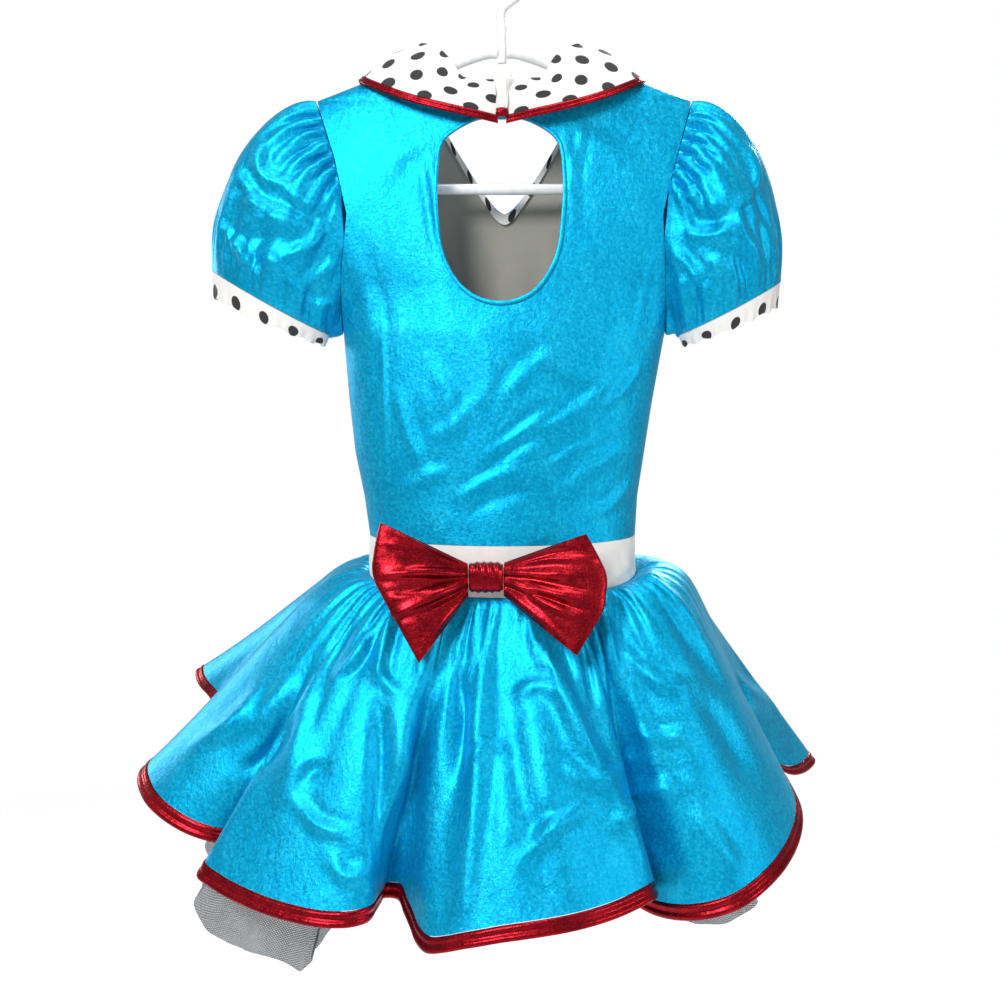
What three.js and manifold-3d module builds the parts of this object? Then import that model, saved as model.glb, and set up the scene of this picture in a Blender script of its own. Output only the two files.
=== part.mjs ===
// Waitress costume on a hanger. Millimetres, +Z up, +X to the right of the photographed side.
// The photographed side, the back of the dress with its bow, faces -Y.
// The origin is the inner top of the hanger's hook.
import * as THREE from 'three';
import { mergeVertices } from 'three/addons/utils/BufferGeometryUtils.js';
import Module from 'manifold-3d';

const wasm = await Module();
wasm.setup();

// Cloth walls and gaps
const VELOUR = 2.0;
const COTTON = 1.4;
const FOIL = 1.2;
const NET = 1.0;
const SEAM = 0.3;

// Waist: an ellipse in a plane that dips towards the back
const WAIST_X = 0.5;
const WAIST_HALF_WIDTH = 121.5;
const WAIST_HALF_DEPTH = 62;
const WAIST_TOP = -531;
const WAIST_BOTTOM = -568;
const WAIST_DIP = 0.08;
const WAIST_BOTTOM_DIP = 0.23;

// Shoulders, neck and armholes
const SHOULDER_TIP = -138;
const NECK_SIDE = -105;
const BACK_NECK = -148;
const BACK_NECK_CURVE = 0.8;
const FRONT_NECK = -236;
const FRONT_NECK_CURVE = 1.45;
const ARMPIT = -346;
const ARMHOLE_DEPTH = 34;

// Height, side edges and half depth of the bodice
const BODICE_ROWS = [
  { z: -531, left: -121, right: 122, depth: 62 },
  { z: -495, left: -126, right: 124, depth: 60 },
  { z: -455, left: -134, right: 130, depth: 60 },
  { z: -408, left: -139, right: 137, depth: 60 },
  { z: -346, left: -144, right: 148, depth: 57 },
  { z: -300, left: -145, right: 147, depth: 52 },
  { z: -240, left: -139, right: 144, depth: 46 },
  { z: -190, left: -150, right: 156, depth: 42 },
  { z: -138, left: -167, right: 171, depth: 40 },
  { z: -60, left: -167, right: 171, depth: 40 },
];
// Heights of the panel's rows at its side edge, from the waist to the shoulder tip
const EDGE_ROWS = [-531, -485, -438, -392, -346, -304, -262, -220, -185, -158, -146, -141.5, -138];
const ARMPIT_ROW = 4;
// Columns of half a panel, from the centre to the side, with one at the neck point
const HALF_COLUMNS = [0, 0.16, 0.32, 0.43, 0.485, 0.5, 0.62, 0.76, 0.88, 0.965, 1];
const NECK_S = 0.5;

// Keyhole outline, seen from the back
const KEYHOLE = [
  { x: 0, z: -157 },
  { x: 18, z: -157 },
  { x: 41, z: -168 },
  { x: 50, z: -178 },
  { x: 54, z: -205 },
  { x: 53, z: -238 },
  { x: 46, z: -280 },
  { x: 26, z: -309 },
  { x: -3, z: -318 },
  { x: -31, z: -308 },
  { x: -50, z: -280 },
  { x: -57, z: -238 },
  { x: -57, z: -205 },
  { x: -53, z: -178 },
  { x: -43, z: -168 },
  { x: -20, z: -157 },
];
const KEYHOLE_EDGE = 3;

// Lining of the front, in columns each way and in rows of the front panel
const LINING_REACH = 7;
const LINING_BOTTOM = 1;
const LINING_TOP = 8;
const LINING_STEPS = 8;
const NECK_BAND = 9;
const NECK_BAND_STEPS = 3;

// Shoulder: the cloth leaves the ridge in a tight round of this rise and reach, then slopes away
const ROUND_RISE = 5.2;
const ROUND_REACH = 2.5;
const SLOPE_RISE = 1.465;
const SLOPE_POWER = 0.7;

// Half collar: neck seam, roll line and outer edge, from the centre back round to the front
const COLLAR_ROWS = [
  { seam: 'back', seamX: 6, rollX: 7, rollY: -44, rollZ: -124, edgeX: 4, edgeY: -50, edgeZ: -155 },
  { seam: 'back', seamX: 21, rollX: 21, rollY: -43, rollZ: -123, edgeX: 24, edgeY: -50, edgeZ: -150 },
  { seam: 'back', seamX: 38, rollX: 35, rollY: -41, rollZ: -121, edgeX: 50, edgeY: -48, edgeZ: -144 },
  { seam: 'back', seamX: 54, rollX: 45, rollY: -36, rollZ: -106, edgeX: 76, edgeY: -42, edgeZ: -137 },
  { seam: 'back', seamX: 68, rollX: 58, rollY: -25, rollZ: -93, edgeX: 100, edgeY: -31, edgeZ: -128 },
  { seam: 'back', seamX: 78, rollX: 71, rollY: -11, rollZ: -88, edgeX: 119, edgeY: -15, edgeZ: -119 },
  { seam: 'tip', seamX: 83, rollX: 79, rollY: 1, rollZ: -87, edgeX: 124, edgeY: 1, edgeZ: -115 },
  { seam: 'front', seamX: 80, rollX: 80, rollY: 14, rollZ: -93, edgeX: 121, edgeY: 17, edgeZ: -120 },
  { seam: 'front', seamX: 75, rollX: 78, rollY: 28, rollZ: -108, edgeX: 114, edgeY: 38, edgeZ: -138 },
  { seam: 'front', seamX: 70, rollX: 72, rollY: 41, rollZ: -126, edgeX: 104, edgeY: 52, edgeZ: -162 },
  { seam: 'front', seamX: 61, rollX: 63, rollY: 51, rollZ: -146, edgeX: 92, edgeY: 60, edgeZ: -188 },
  { seam: 'front', seamX: 52, rollX: 54, rollY: 57, rollZ: -162, edgeX: 70, edgeY: 64, edgeZ: -214 },
];
const COLLAR_TRIM_WIDTH = 7;
const COLLAR_LOOP_Y = -53.4;
const COLLAR_RISE = 1.1;

// Sleeves: outer and inner ends of the cuff's upper and lower rings, and how far they puff out
const SLEEVES = [
  {
    name: 'left', side: -1, crown: 108,
    upper: { outerX: -264, outerZ: -289, innerX: -158, innerZ: -348 },
    lower: { outerX: -263, outerZ: -314, innerX: -163, innerZ: -358 },
  },
  {
    name: 'right', side: 1, crown: 101,
    upper: { outerX: 254, outerZ: -299, innerX: 162, innerZ: -348 },
    lower: { outerX: 251, outerZ: -322, innerX: 167, innerZ: -358 },
  },
];
const CUFF_HALF_DEPTH = 33;
const CUFF_SAG = 1.5;
const SLEEVE_SPLITS = [1, 1, 3, 5, 6, 2, 2, 2];
const SLEEVE_RINGS = [
  { t: 0, cap: 0, fold: 0, cuff: 0 },
  { t: 0.05, cap: 2.4, fold: 0, cuff: 0 },
  { t: 0.17, cap: 2.6, fold: 1.2, cuff: 0 },
  { t: 0.36, cap: 1.2, fold: 3.2, cuff: 0 },
  { t: 0.6, cap: 0, fold: 3.5, cuff: 0.6 },
  { t: 0.86, cap: 0, fold: 1.0, cuff: 2.2 },
  { t: 1, cap: 0, fold: 0, cuff: 0 },
];

// Hem of the skirt, the lower edge of its binding: one row for each turn of a fold.
// It runs from the left side seam round the back to the right side seam.
const BACK_HEM = [
  { x: -322, y: 62, z: -753 },
  { x: -342, y: 15, z: -757 },
  { x: -341, y: -8, z: -763 },
  { x: -325, y: -38, z: -779 },
  { x: -292, y: -56, z: -797 },
  { x: -262, y: -58, z: -807 },
  { x: -246, y: -56, z: -811 },
  { x: -247, y: -69, z: -815 },
  { x: -262, y: -76, z: -821 },
  { x: -273, y: -86, z: -829 },
  { x: -257, y: -101, z: -837 },
  { x: -234, y: -117, z: -844 },
  { x: -200, y: -136, z: -851 },
  { x: -152, y: -152, z: -856 },
  { x: -120, y: -146, z: -855 },
  { x: -110, y: -116, z: -850 },
  { x: -105, y: -88, z: -849 },
  { x: -95, y: -92, z: -847 },
  { x: -82, y: -120, z: -862 },
  { x: -67, y: -154, z: -877 },
  { x: -36, y: -174, z: -868 },
  { x: -2, y: -180, z: -860 },
  { x: 32, y: -180, z: -855 },
  { x: 66, y: -172, z: -851 },
  { x: 101, y: -156, z: -845 },
  { x: 134, y: -130, z: -837 },
  { x: 134, y: -108, z: -842 },
  { x: 118, y: -90, z: -850 },
  { x: 120, y: -74, z: -860 },
  { x: 140, y: -90, z: -866 },
  { x: 172, y: -116, z: -861 },
  { x: 208, y: -122, z: -849 },
  { x: 244, y: -100, z: -829 },
  { x: 269, y: -64, z: -808 },
  { x: 279, y: -30, z: -789 },
  { x: 275, y: 2, z: -773 },
  { x: 262, y: 50, z: -760 },
  { x: 260, y: 80, z: -757 },
];
// It runs on from the right side seam round the front to the left side seam.
const FRONT_HEM = [
  { x: 260, y: 80, z: -757 },
  { x: 262, y: 94, z: -761 },
  { x: 271, y: 108, z: -773 },
  { x: 288, y: 120, z: -787 },
  { x: 311, y: 145, z: -790 },
  { x: 324, y: 172, z: -783 },
  { x: 300, y: 200, z: -786 },
  { x: 262, y: 200, z: -806 },
  { x: 232, y: 176, z: -826 },
  { x: 204, y: 168, z: -838 },
  { x: 176, y: 188, z: -838 },
  { x: 140, y: 212, z: -832 },
  { x: 100, y: 216, z: -832 },
  { x: 66, y: 194, z: -842 },
  { x: 44, y: 160, z: -854 },
  { x: 20, y: 158, z: -858 },
  { x: -4, y: 188, z: -850 },
  { x: -38, y: 214, z: -836 },
  { x: -78, y: 216, z: -832 },
  { x: -108, y: 192, z: -840 },
  { x: -126, y: 162, z: -848 },
  { x: -150, y: 158, z: -842 },
  { x: -172, y: 188, z: -824 },
  { x: -204, y: 218, z: -796 },
  { x: -244, y: 232, z: -758 },
  { x: -286, y: 226, z: -712 },
  { x: -318, y: 202, z: -695 },
  { x: -314, y: 178, z: -704 },
  { x: -294, y: 150, z: -719 },
  { x: -286, y: 118, z: -736 },
  { x: -296, y: 86, z: -748 },
  { x: -322, y: 62, z: -753 },
];
const SKIRT_COLUMNS = 68;
// Rows from the waist seam to the hem: depth of the gathers, and how far the cloth puffs out
const SKIRT_ROWS = [
  { t: 0, gather: 0, puff: 0 },
  { t: 0.05, gather: 1.8, puff: 14 },
  { t: 0.16, gather: 1.8, puff: 22 },
  { t: 0.36, gather: 0.8, puff: 19 },
  { t: 0.66, gather: 0, puff: 11 },
  { t: 1, gather: 0, puff: 0 },
];
const SKIRT_BULGE = 12;
const PUFF_LEFT = 1;
const PUFF_RIGHT = 1.65;
const SEAM_TILT = 25;
const SEAM_TILT_PUFF = 25;
const HEM_BAND = 15;
const HEM_GAP = 0.45;
const CORNER_GAP = 1.6;
const SIDE_GAP = 0.25;

// Net petticoat: its lower edge inside the skirt, with a wave for each ruffle
const PETTICOAT_HEM = [
  { x: -272, y: 0, z: -822 },
  { x: -277, y: -48, z: -848 },
  { x: -268, y: -64, z: -888 },
  { x: -248, y: -74, z: -896 },
  { x: -212, y: -84, z: -902 },
  { x: -182, y: -90, z: -916 },
  { x: -158, y: -84, z: -886 },
  { x: -130, y: -76, z: -840 },
  { x: -92, y: -62, z: -838 },
  { x: -50, y: -70, z: -842 },
  { x: 0, y: -78, z: -842 },
  { x: 50, y: -76, z: -842 },
  { x: 100, y: -62, z: -850 },
  { x: 138, y: -70, z: -866 },
  { x: 172, y: -76, z: -876 },
  { x: 206, y: -74, z: -876 },
  { x: 232, y: -52, z: -852 },
  { x: 238, y: 0, z: -812 },
  { x: 232, y: 70, z: -790 },
  { x: 214, y: 120, z: -800 },
  { x: 150, y: 136, z: -826 },
  { x: 75, y: 132, z: -838 },
  { x: 0, y: 128, z: -842 },
  { x: -75, y: 130, z: -836 },
  { x: -150, y: 126, z: -818 },
  { x: -214, y: 124, z: -790 },
  { x: -252, y: 60, z: -784 },
];
const PETTICOAT_WAVES = 20;
const PETTICOAT_WAVE = 5;
const PETTICOAT_TOP = -568.5;
const PETTICOAT_INSIDE = 0.8;

// Bow: each loop's edge at the knot and at its outer end, from top to bottom
const BOW_LOOPS = [
  {
    name: 'left', side: -1,
    knotX: -30.2, knotTop: -550, knotBottom: -579, knotY: -77,
    outer: [
      { x: -106, y: -84, z: -513 },
      { x: -111, y: -87, z: -535 },
      { x: -112.5, y: -90, z: -558 },
      { x: -104, y: -95, z: -576 },
      { x: -95.5, y: -99, z: -591 },
      { x: -84, y: -104, z: -611 },
      { x: -72, y: -109, z: -632 },
    ],
  },
  {
    name: 'right', side: 1,
    knotX: 1.8, knotTop: -549, knotBottom: -578, knotY: -77,
    outer: [
      { x: 73, y: -84, z: -523 },
      { x: 83, y: -87, z: -541 },
      { x: 91, y: -90, z: -560 },
      { x: 90, y: -94, z: -574 },
      { x: 88, y: -98, z: -587 },
      { x: 77, y: -103, z: -606 },
      { x: 64.5, y: -108, z: -626 },
    ],
  },
];
const BOW_PATH = [0, 0.2, 0.5, 0.8, 0.95, 1];
const BOW_THICK = [3.5, 7.5, 11, 9, 5, 2];
const BOW_CREASE = 2.6;
const BOW_FINGERS = 10;
const KNOT = { x: -14.2, z: -562, halfWidth: 15.4, halfHeight: 14.2, back: -64.3, front: -87 };

// Hanger: a plain tube
const TUBE = 5;
const HOOK_TUBE = 4;
const HOOK_RADIUS = 22;
const HANGER_NECK = -74;
const HANGER_FOOT = -103;
const ARM_REACH = 152;
const BAR_Z = -216;
const BAR_HALF = 118;

const COLOURS = {
  velour: { color: 0x0aa5dc, roughness: 0.45, metalness: 0 },
  white: { color: 0xebe8e3, roughness: 0.7, metalness: 0 },
  lining: { color: 0xa5a39a, roughness: 0.85, metalness: 0 },
  foil: { color: 0xa8142a, roughness: 0.3, metalness: 0.6 },
  net: { color: 0x7f868c, roughness: 0.9, metalness: 0 },
  plastic: { color: 0xf2f2f0, roughness: 0.35, metalness: 0 },
};

const group = new THREE.Group();
const vec = (x, y, z) => new THREE.Vector3(x, y, z);
const mix = (a, b, t) => a + (b - a) * t;
const mixPoint = (a, b, t) => a.clone().lerp(b, t);

function addPart(name, geometry, finish) {
  const mesh = new THREE.Mesh(geometry, new THREE.MeshStandardMaterial(COLOURS[finish]));
  mesh.name = name;
  group.add(mesh);
}

// Smooth value of one column of a table whose rows are sorted by height
function tableValue(rows, column, z) {
  if (z <= rows[0].z) return rows[0][column];
  for (let k = 1; k < rows.length; k += 1) {
    if (z <= rows[k].z) {
      const t = (z - rows[k - 1].z) / (rows[k].z - rows[k - 1].z);
      return mix(rows[k - 1][column], rows[k][column], t);
    }
  }
  return rows[rows.length - 1][column];
}

// A surface is a grid of points, columns of rows. It may close on itself across its columns.
function surfaceNormals(grid, closed) {
  const columns = grid.length;
  const rows = grid[0].length;
  return grid.map((column, i) => column.map((point, j) => {
    const before = closed ? grid[(i - 1 + columns) % columns][j] : grid[Math.max(i - 1, 0)][j];
    const after = closed ? grid[(i + 1) % columns][j] : grid[Math.min(i + 1, columns - 1)][j];
    const across = after.clone().sub(before);
    const along = column[Math.min(j + 1, rows - 1)].clone().sub(column[Math.max(j - 1, 0)]);
    return across.cross(along).normalize();
  }));
}

// A closed wall round the middle surface, with its half thickness on each side of every row
function wall(grid, normals, closed, outerHalf, innerHalf = outerHalf) {
  const columns = grid.length;
  const rows = grid[0].length;
  const half = (value, j) => (Array.isArray(value) ? value[j] : value);
  const positions = [];
  for (const [sign, value] of [[1, outerHalf], [-1, innerHalf]]) {
    for (let i = 0; i < columns; i += 1) {
      for (let j = 0; j < rows; j += 1) {
        const point = grid[i][j].clone().addScaledVector(normals[i][j], sign * half(value, j));
        positions.push(point.x, point.y, point.z);
      }
    }
  }
  const outer = (i, j) => (i % columns) * rows + j;
  const inner = (i, j) => columns * rows + (i % columns) * rows + j;
  const index = [];
  const quad = (a, b, c, d) => index.push(a, b, c, a, c, d);
  const spans = closed ? columns : columns - 1;
  for (let i = 0; i < spans; i += 1) {
    for (let j = 0; j < rows - 1; j += 1) {
      quad(outer(i, j), outer(i + 1, j), outer(i + 1, j + 1), outer(i, j + 1));
      quad(inner(i, j), inner(i, j + 1), inner(i + 1, j + 1), inner(i + 1, j));
    }
    quad(inner(i, 0), inner(i + 1, 0), outer(i + 1, 0), outer(i, 0));
    quad(outer(i, rows - 1), outer(i + 1, rows - 1), inner(i + 1, rows - 1), inner(i, rows - 1));
  }
  if (!closed) {
    const last = columns - 1;
    for (let j = 0; j < rows - 1; j += 1) {
      quad(inner(0, j), outer(0, j), outer(0, j + 1), inner(0, j + 1));
      quad(outer(last, j), inner(last, j), inner(last, j + 1), outer(last, j + 1));
    }
  }
  return orient(positions, index);
}

// Geometry whose faces point out of the solid
function orient(positions, index) {
  let volume = 0;
  const at = (k) => vec(positions[3 * k], positions[3 * k + 1], positions[3 * k + 2]);
  for (let k = 0; k < index.length; k += 3) {
    volume += at(index[k]).dot(at(index[k + 1]).cross(at(index[k + 2])));
  }
  if (volume < 0) {
    for (let k = 0; k < index.length; k += 3) {
      [index[k + 1], index[k + 2]] = [index[k + 2], index[k + 1]];
    }
  }
  const geometry = new THREE.BufferGeometry();
  geometry.setAttribute('position', new THREE.Float32BufferAttribute(positions, 3));
  geometry.setIndex(index);
  geometry.computeVertexNormals();
  return geometry;
}

function toManifold(geometry) {
  const bare = geometry.clone();
  bare.deleteAttribute('normal');
  bare.deleteAttribute('uv');
  const merged = mergeVertices(bare, 1e-4);
  const vertProperties = new Float32Array(merged.attributes.position.array);
  const triVerts = new Uint32Array(merged.index.array);
  return new wasm.Manifold(new wasm.Mesh({ numProp: 3, vertProperties, triVerts }));
}

function fromManifold(solid) {
  const mesh = solid.getMesh();
  const geometry = new THREE.BufferGeometry();
  geometry.setAttribute('position', new THREE.Float32BufferAttribute(mesh.vertProperties, 3));
  geometry.setIndex(Array.from(mesh.triVerts));
  geometry.computeVertexNormals();
  return geometry;
}

function waistPoint(angle, z, grow, dip) {
  const x = WAIST_X - (WAIST_HALF_WIDTH + grow) * Math.cos(angle);
  const y = -(WAIST_HALF_DEPTH + grow) * Math.sin(angle);
  return vec(x, y, z + dip * y);
}

// Level direction straight out of the waist's ellipse
function waistOut(angle) {
  return vec(-Math.cos(angle) / WAIST_HALF_WIDTH, -Math.sin(angle) / WAIST_HALF_DEPTH, 0).normalize();
}

// The skirt puffs out over its seam, all round the front and towards the sides of the back
function puffWeight(angle) {
  return Math.sin(angle) > 0 ? Math.abs(Math.cos(angle)) ** 3 : 1;
}

// Across the seam between waistband and skirt: the outward direction of both walls
function waistSeamNormal(angle) {
  const tilt = ((SEAM_TILT + SEAM_TILT_PUFF * puffWeight(angle)) * Math.PI) / 180;
  return waistOut(angle).multiplyScalar(Math.cos(tilt)).add(vec(0, 0, Math.sin(tilt)));
}

// Bodice: column positions across the panel run from -1 to 1
const SHOULDER_SLOPE = (NECK_SIDE - SHOULDER_TIP) / (1 - NECK_S);
const COLUMNS = [...HALF_COLUMNS.slice(1).reverse().map((s) => -s), ...HALF_COLUMNS];
const LAST_COLUMN = COLUMNS.length - 1;
const LAST_ROW = EDGE_ROWS.length - 1;

function ridgeHeight(s) {
  return NECK_SIDE + (NECK_S - Math.abs(s)) * SHOULDER_SLOPE;
}

function topHeight(s, back) {
  const ratio = Math.abs(s) / NECK_S;
  if (ratio > 0.999) return ridgeHeight(s);
  if (back) return mix(BACK_NECK, NECK_SIDE, 1 - (1 - ratio * ratio) ** BACK_NECK_CURVE);
  return mix(FRONT_NECK, NECK_SIDE, ratio ** FRONT_NECK_CURVE);
}

// How far the cloth stands off the ridge of the shoulders, at a drop below it
function roofDepth(drop) {
  const round = ROUND_RISE * (1 - Math.exp(-drop / ROUND_REACH));
  return round + SLOPE_RISE * Math.max(drop, 0) ** SLOPE_POWER;
}

function armholeDepth(z) {
  const t = (z - ARMPIT) / (SHOULDER_TIP - ARMPIT);
  if (t <= 0 || t >= 1) return 0;
  return ARMHOLE_DEPTH * Math.sin(Math.PI * t) ** 0.75;
}

function bodicePoint(s, z, side) {
  const left = tableValue(BODICE_ROWS, 'left', z);
  const right = tableValue(BODICE_ROWS, 'right', z);
  const edge = armholeDepth(z);
  const open = Math.min(Math.max((z - ARMPIT) / 42, 0), 1);
  const round = Math.max(1 - s * s, 0) ** mix(0.5, 1, open);
  const full = edge + (tableValue(BODICE_ROWS, 'depth', z) - edge) * round;
  const roof = roofDepth(ridgeHeight(s) - z);
  const depth = full < 1e-6 || roof < 1e-6 ? 0 : (full ** -4 + roof ** -4) ** -0.25;
  return vec((left + right) / 2 + (s * (right - left)) / 2, side * (SEAM / 2 + depth), z);
}

function bodiceGrid(back) {
  const side = back ? -1 : 1;
  const bottomEdge = EDGE_ROWS[0];
  return COLUMNS.map((s) => {
    const top = topHeight(s, back);
    return EDGE_ROWS.map((edge) => {
      const v = (edge - bottomEdge) / (EDGE_ROWS[LAST_ROW] - bottomEdge);
      const point = bodicePoint(s, mix(bottomEdge, top, v), side);
      point.z += WAIST_DIP * point.y * Math.max(1 - v * 4, 0);
      return point;
    });
  });
}

// The panel's walls meet its neighbour squarely at the side and shoulder seams
function bodiceNormals(grid) {
  const normals = surfaceNormals(grid, false);
  COLUMNS.forEach((s, i) => {
    if (Math.abs(s) >= NECK_S) normals[i][LAST_ROW].setY(0).normalize();
  });
  for (const i of [0, LAST_COLUMN]) {
    for (let j = 0; j <= ARMPIT_ROW; j += 1) normals[i][j].setY(0).normalize();
  }
  return normals;
}

const backGrid = bodiceGrid(true);
const backNormals = bodiceNormals(backGrid);
const frontGrid = bodiceGrid(false);
const frontNormals = bodiceNormals(frontGrid);

// The keyhole's outline as a smooth closed curve, pushed out from its centre by a distance
function keyholeOutline(grow, count) {
  const curve = new THREE.CatmullRomCurve3(KEYHOLE.map((row) => vec(row.x, 0, row.z)), true, 'centripetal');
  const centre = vec(-2, 0, -236);
  return Array.from({ length: count }, (_, k) => {
    const point = curve.getPointAt(k / count);
    return point.addScaledVector(point.clone().sub(centre).normalize(), grow);
  });
}

function makeBodice() {
  const outline = keyholeOutline(0, 36);
  const shape = new THREE.Shape(outline.map((point) => new THREE.Vector2(point.x, point.z)));
  const cutter = new THREE.ExtrudeGeometry(shape, { depth: 60, bevelEnabled: false });
  cutter.rotateX(Math.PI / 2);
  cutter.translate(0, -10, 0);
  const panel = toManifold(wall(backGrid, backNormals, false, VELOUR / 2));
  addPart('bodice_back', fromManifold(panel.subtract(toManifold(cutter))), 'velour');
  addPart('bodice_front', wall(frontGrid, frontNormals, false, VELOUR / 2), 'velour');
}

// A thin edge that lies on the outside of the back panel round the keyhole
function makeKeyholeBinding() {
  const rings = [KEYHOLE_EDGE + 0.4, 0.4].map((grow) => keyholeOutline(grow, 36));
  const left = tableValue(BODICE_ROWS, 'left', -236);
  const right = tableValue(BODICE_ROWS, 'right', -236);
  const grid = rings[0].map((_, k) => rings.map((ring) => {
    const { x, z } = ring[k];
    const s = (x - (left + right) / 2) / ((right - left) / 2);
    const surface = bodicePoint(s, z, -1);
    return vec(x, surface.y - VELOUR / 2 - SEAM - 1.6, z);
  }));
  addPart('keyhole_binding', wall(grid, surfaceNormals(grid, true), true, 0.7), 'velour');
}

// A point on the front panel's own facets, between two of its rows, moved inwards
function frontInside(column, row, move) {
  const low = Math.min(Math.floor(row), LAST_ROW - 1);
  const point = mixPoint(frontGrid[column][low], frontGrid[column][low + 1], row - low);
  const normal = mixPoint(frontNormals[column][low], frontNormals[column][low + 1], row - low).normalize();
  return point.addScaledVector(normal, normal.y > 0 ? -move : move);
}

// The row, in parts of a row, that lies a drop below a column's top
function rowBelow(column, drop) {
  const depths = column.map((place) => column[LAST_ROW].z - place.z);
  const low = depths.findLastIndex((depth) => depth >= drop);
  return low + (depths[low] - drop) / (depths[low] - depths[low + 1]);
}

// Pale lining inside the front, and the dotted band along its neck edge
function makeFrontInside() {
  const middle = COLUMNS.indexOf(0);
  const neckColumns = 4;
  const liningMove = VELOUR / 2 + 2 * SEAM + COTTON / 2;
  const lining = [];
  for (let i = middle - LINING_REACH; i <= middle + LINING_REACH; i += 1) {
    const top = Math.abs(i - middle) > neckColumns ? LINING_TOP : LAST_ROW;
    lining.push(Array.from({ length: LINING_STEPS + 1 }, (_, k) => {
      return frontInside(i, mix(LINING_BOTTOM, top, k / LINING_STEPS), liningMove);
    }));
  }
  addPart('front_lining', wall(lining, surfaceNormals(lining, false), false, COTTON / 2), 'lining');
  const bandMove = VELOUR / 2 + 9 * SEAM + COTTON * 1.5;
  const band = [];
  for (let i = middle - neckColumns; i <= middle + neckColumns; i += 1) {
    const lower = rowBelow(frontGrid[i], NECK_BAND);
    band.push(Array.from({ length: NECK_BAND_STEPS + 1 }, (_, k) => {
      return frontInside(i, mix(lower, LAST_ROW, k / NECK_BAND_STEPS), bandMove);
    }));
  }
  addPart('front_neck_binding', wall(band, surfaceNormals(band, false), false, COTTON / 2), 'white');
}

function makeWaistband() {
  const columns = 48;
  const angles = Array.from({ length: columns }, (_, i) => (2 * Math.PI * i) / columns);
  const grid = angles.map((angle) => {
    const top = waistPoint(angle, WAIST_TOP - SEAM, 0, WAIST_DIP);
    const bottom = waistPoint(angle, WAIST_BOTTOM, 1, WAIST_BOTTOM_DIP);
    return [top, mixPoint(top, bottom, 0.7), bottom];
  });
  const normals = angles.map((angle) => [waistOut(angle), waistOut(angle), waistSeamNormal(angle)]);
  addPart('waistband', wall(grid, normals, true, VELOUR / 2), 'white');
}

// Skirt grid: columns run round the waist, rows from the waist seam to the hem
function hemPoints(rows, columns) {
  const places = rows.map((row) => vec(row.x, row.y, row.z));
  const curve = new THREE.CatmullRomCurve3(places, false, 'centripetal');
  const ends = SIDE_GAP / curve.getLength();
  return Array.from({ length: columns + 1 }, (_, i) => curve.getPointAt(mix(ends, 1 - ends, i / columns)));
}

function smoothLine(points, passes) {
  let line = points.map((point) => point.clone());
  for (let n = 0; n < passes; n += 1) {
    line = line.map((point, i) => {
      if (i === 0 || i === line.length - 1) return point.clone();
      return line[i - 1].clone().add(line[i + 1]).multiplyScalar(0.25).addScaledVector(point, 0.5);
    });
  }
  return line;
}

function skirtGrid(hemRows, startAngle) {
  const hem = hemPoints(hemRows, SKIRT_COLUMNS);
  const soft = smoothLine(hem, 60);
  return hem.map((low, i) => {
    const part = mix(0.0008, 0.9992, i / SKIRT_COLUMNS);
    const angle = startAngle + Math.PI * part;
    const seamNormal = waistSeamNormal(angle);
    const level = waistOut(angle);
    const seamDown = level.clone().multiplyScalar(seamNormal.z).setZ(-level.dot(seamNormal));
    const top = waistPoint(angle, WAIST_BOTTOM, 1, WAIST_BOTTOM_DIP).addScaledVector(seamDown, SEAM + 0.15);
    const full = 1 - HEM_BAND / top.distanceTo(low);
    const zigzag = i % 2 === 0 ? -1 : 1;
    const edge = Math.sin(Math.PI * part) ** 0.3;
    const weight = puffWeight(angle);
    const puffOut = level.clone().add(vec(0, 0, 1)).normalize();
    const puffSize = weight * mix(PUFF_LEFT, PUFF_RIGHT, (1 - Math.cos(angle)) / 2);
    const bulgeOut = vec(top.x - WAIST_X, top.y * 2.5, 60).normalize();
    const column = SKIRT_ROWS.map((row) => {
      const t = row.t * full;
      const point = mixPoint(top, soft[i], t);
      point.addScaledVector(low.clone().sub(soft[i]), t ** 1.35);
      point.addScaledVector(bulgeOut, SKIRT_BULGE * (1 - weight) * Math.sin(Math.PI * t));
      point.addScaledVector(puffOut, row.puff * puffSize);
      return point.addScaledVector(level, row.gather * zigzag * edge);
    });
    return { column, low, seamNormal };
  });
}

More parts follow.
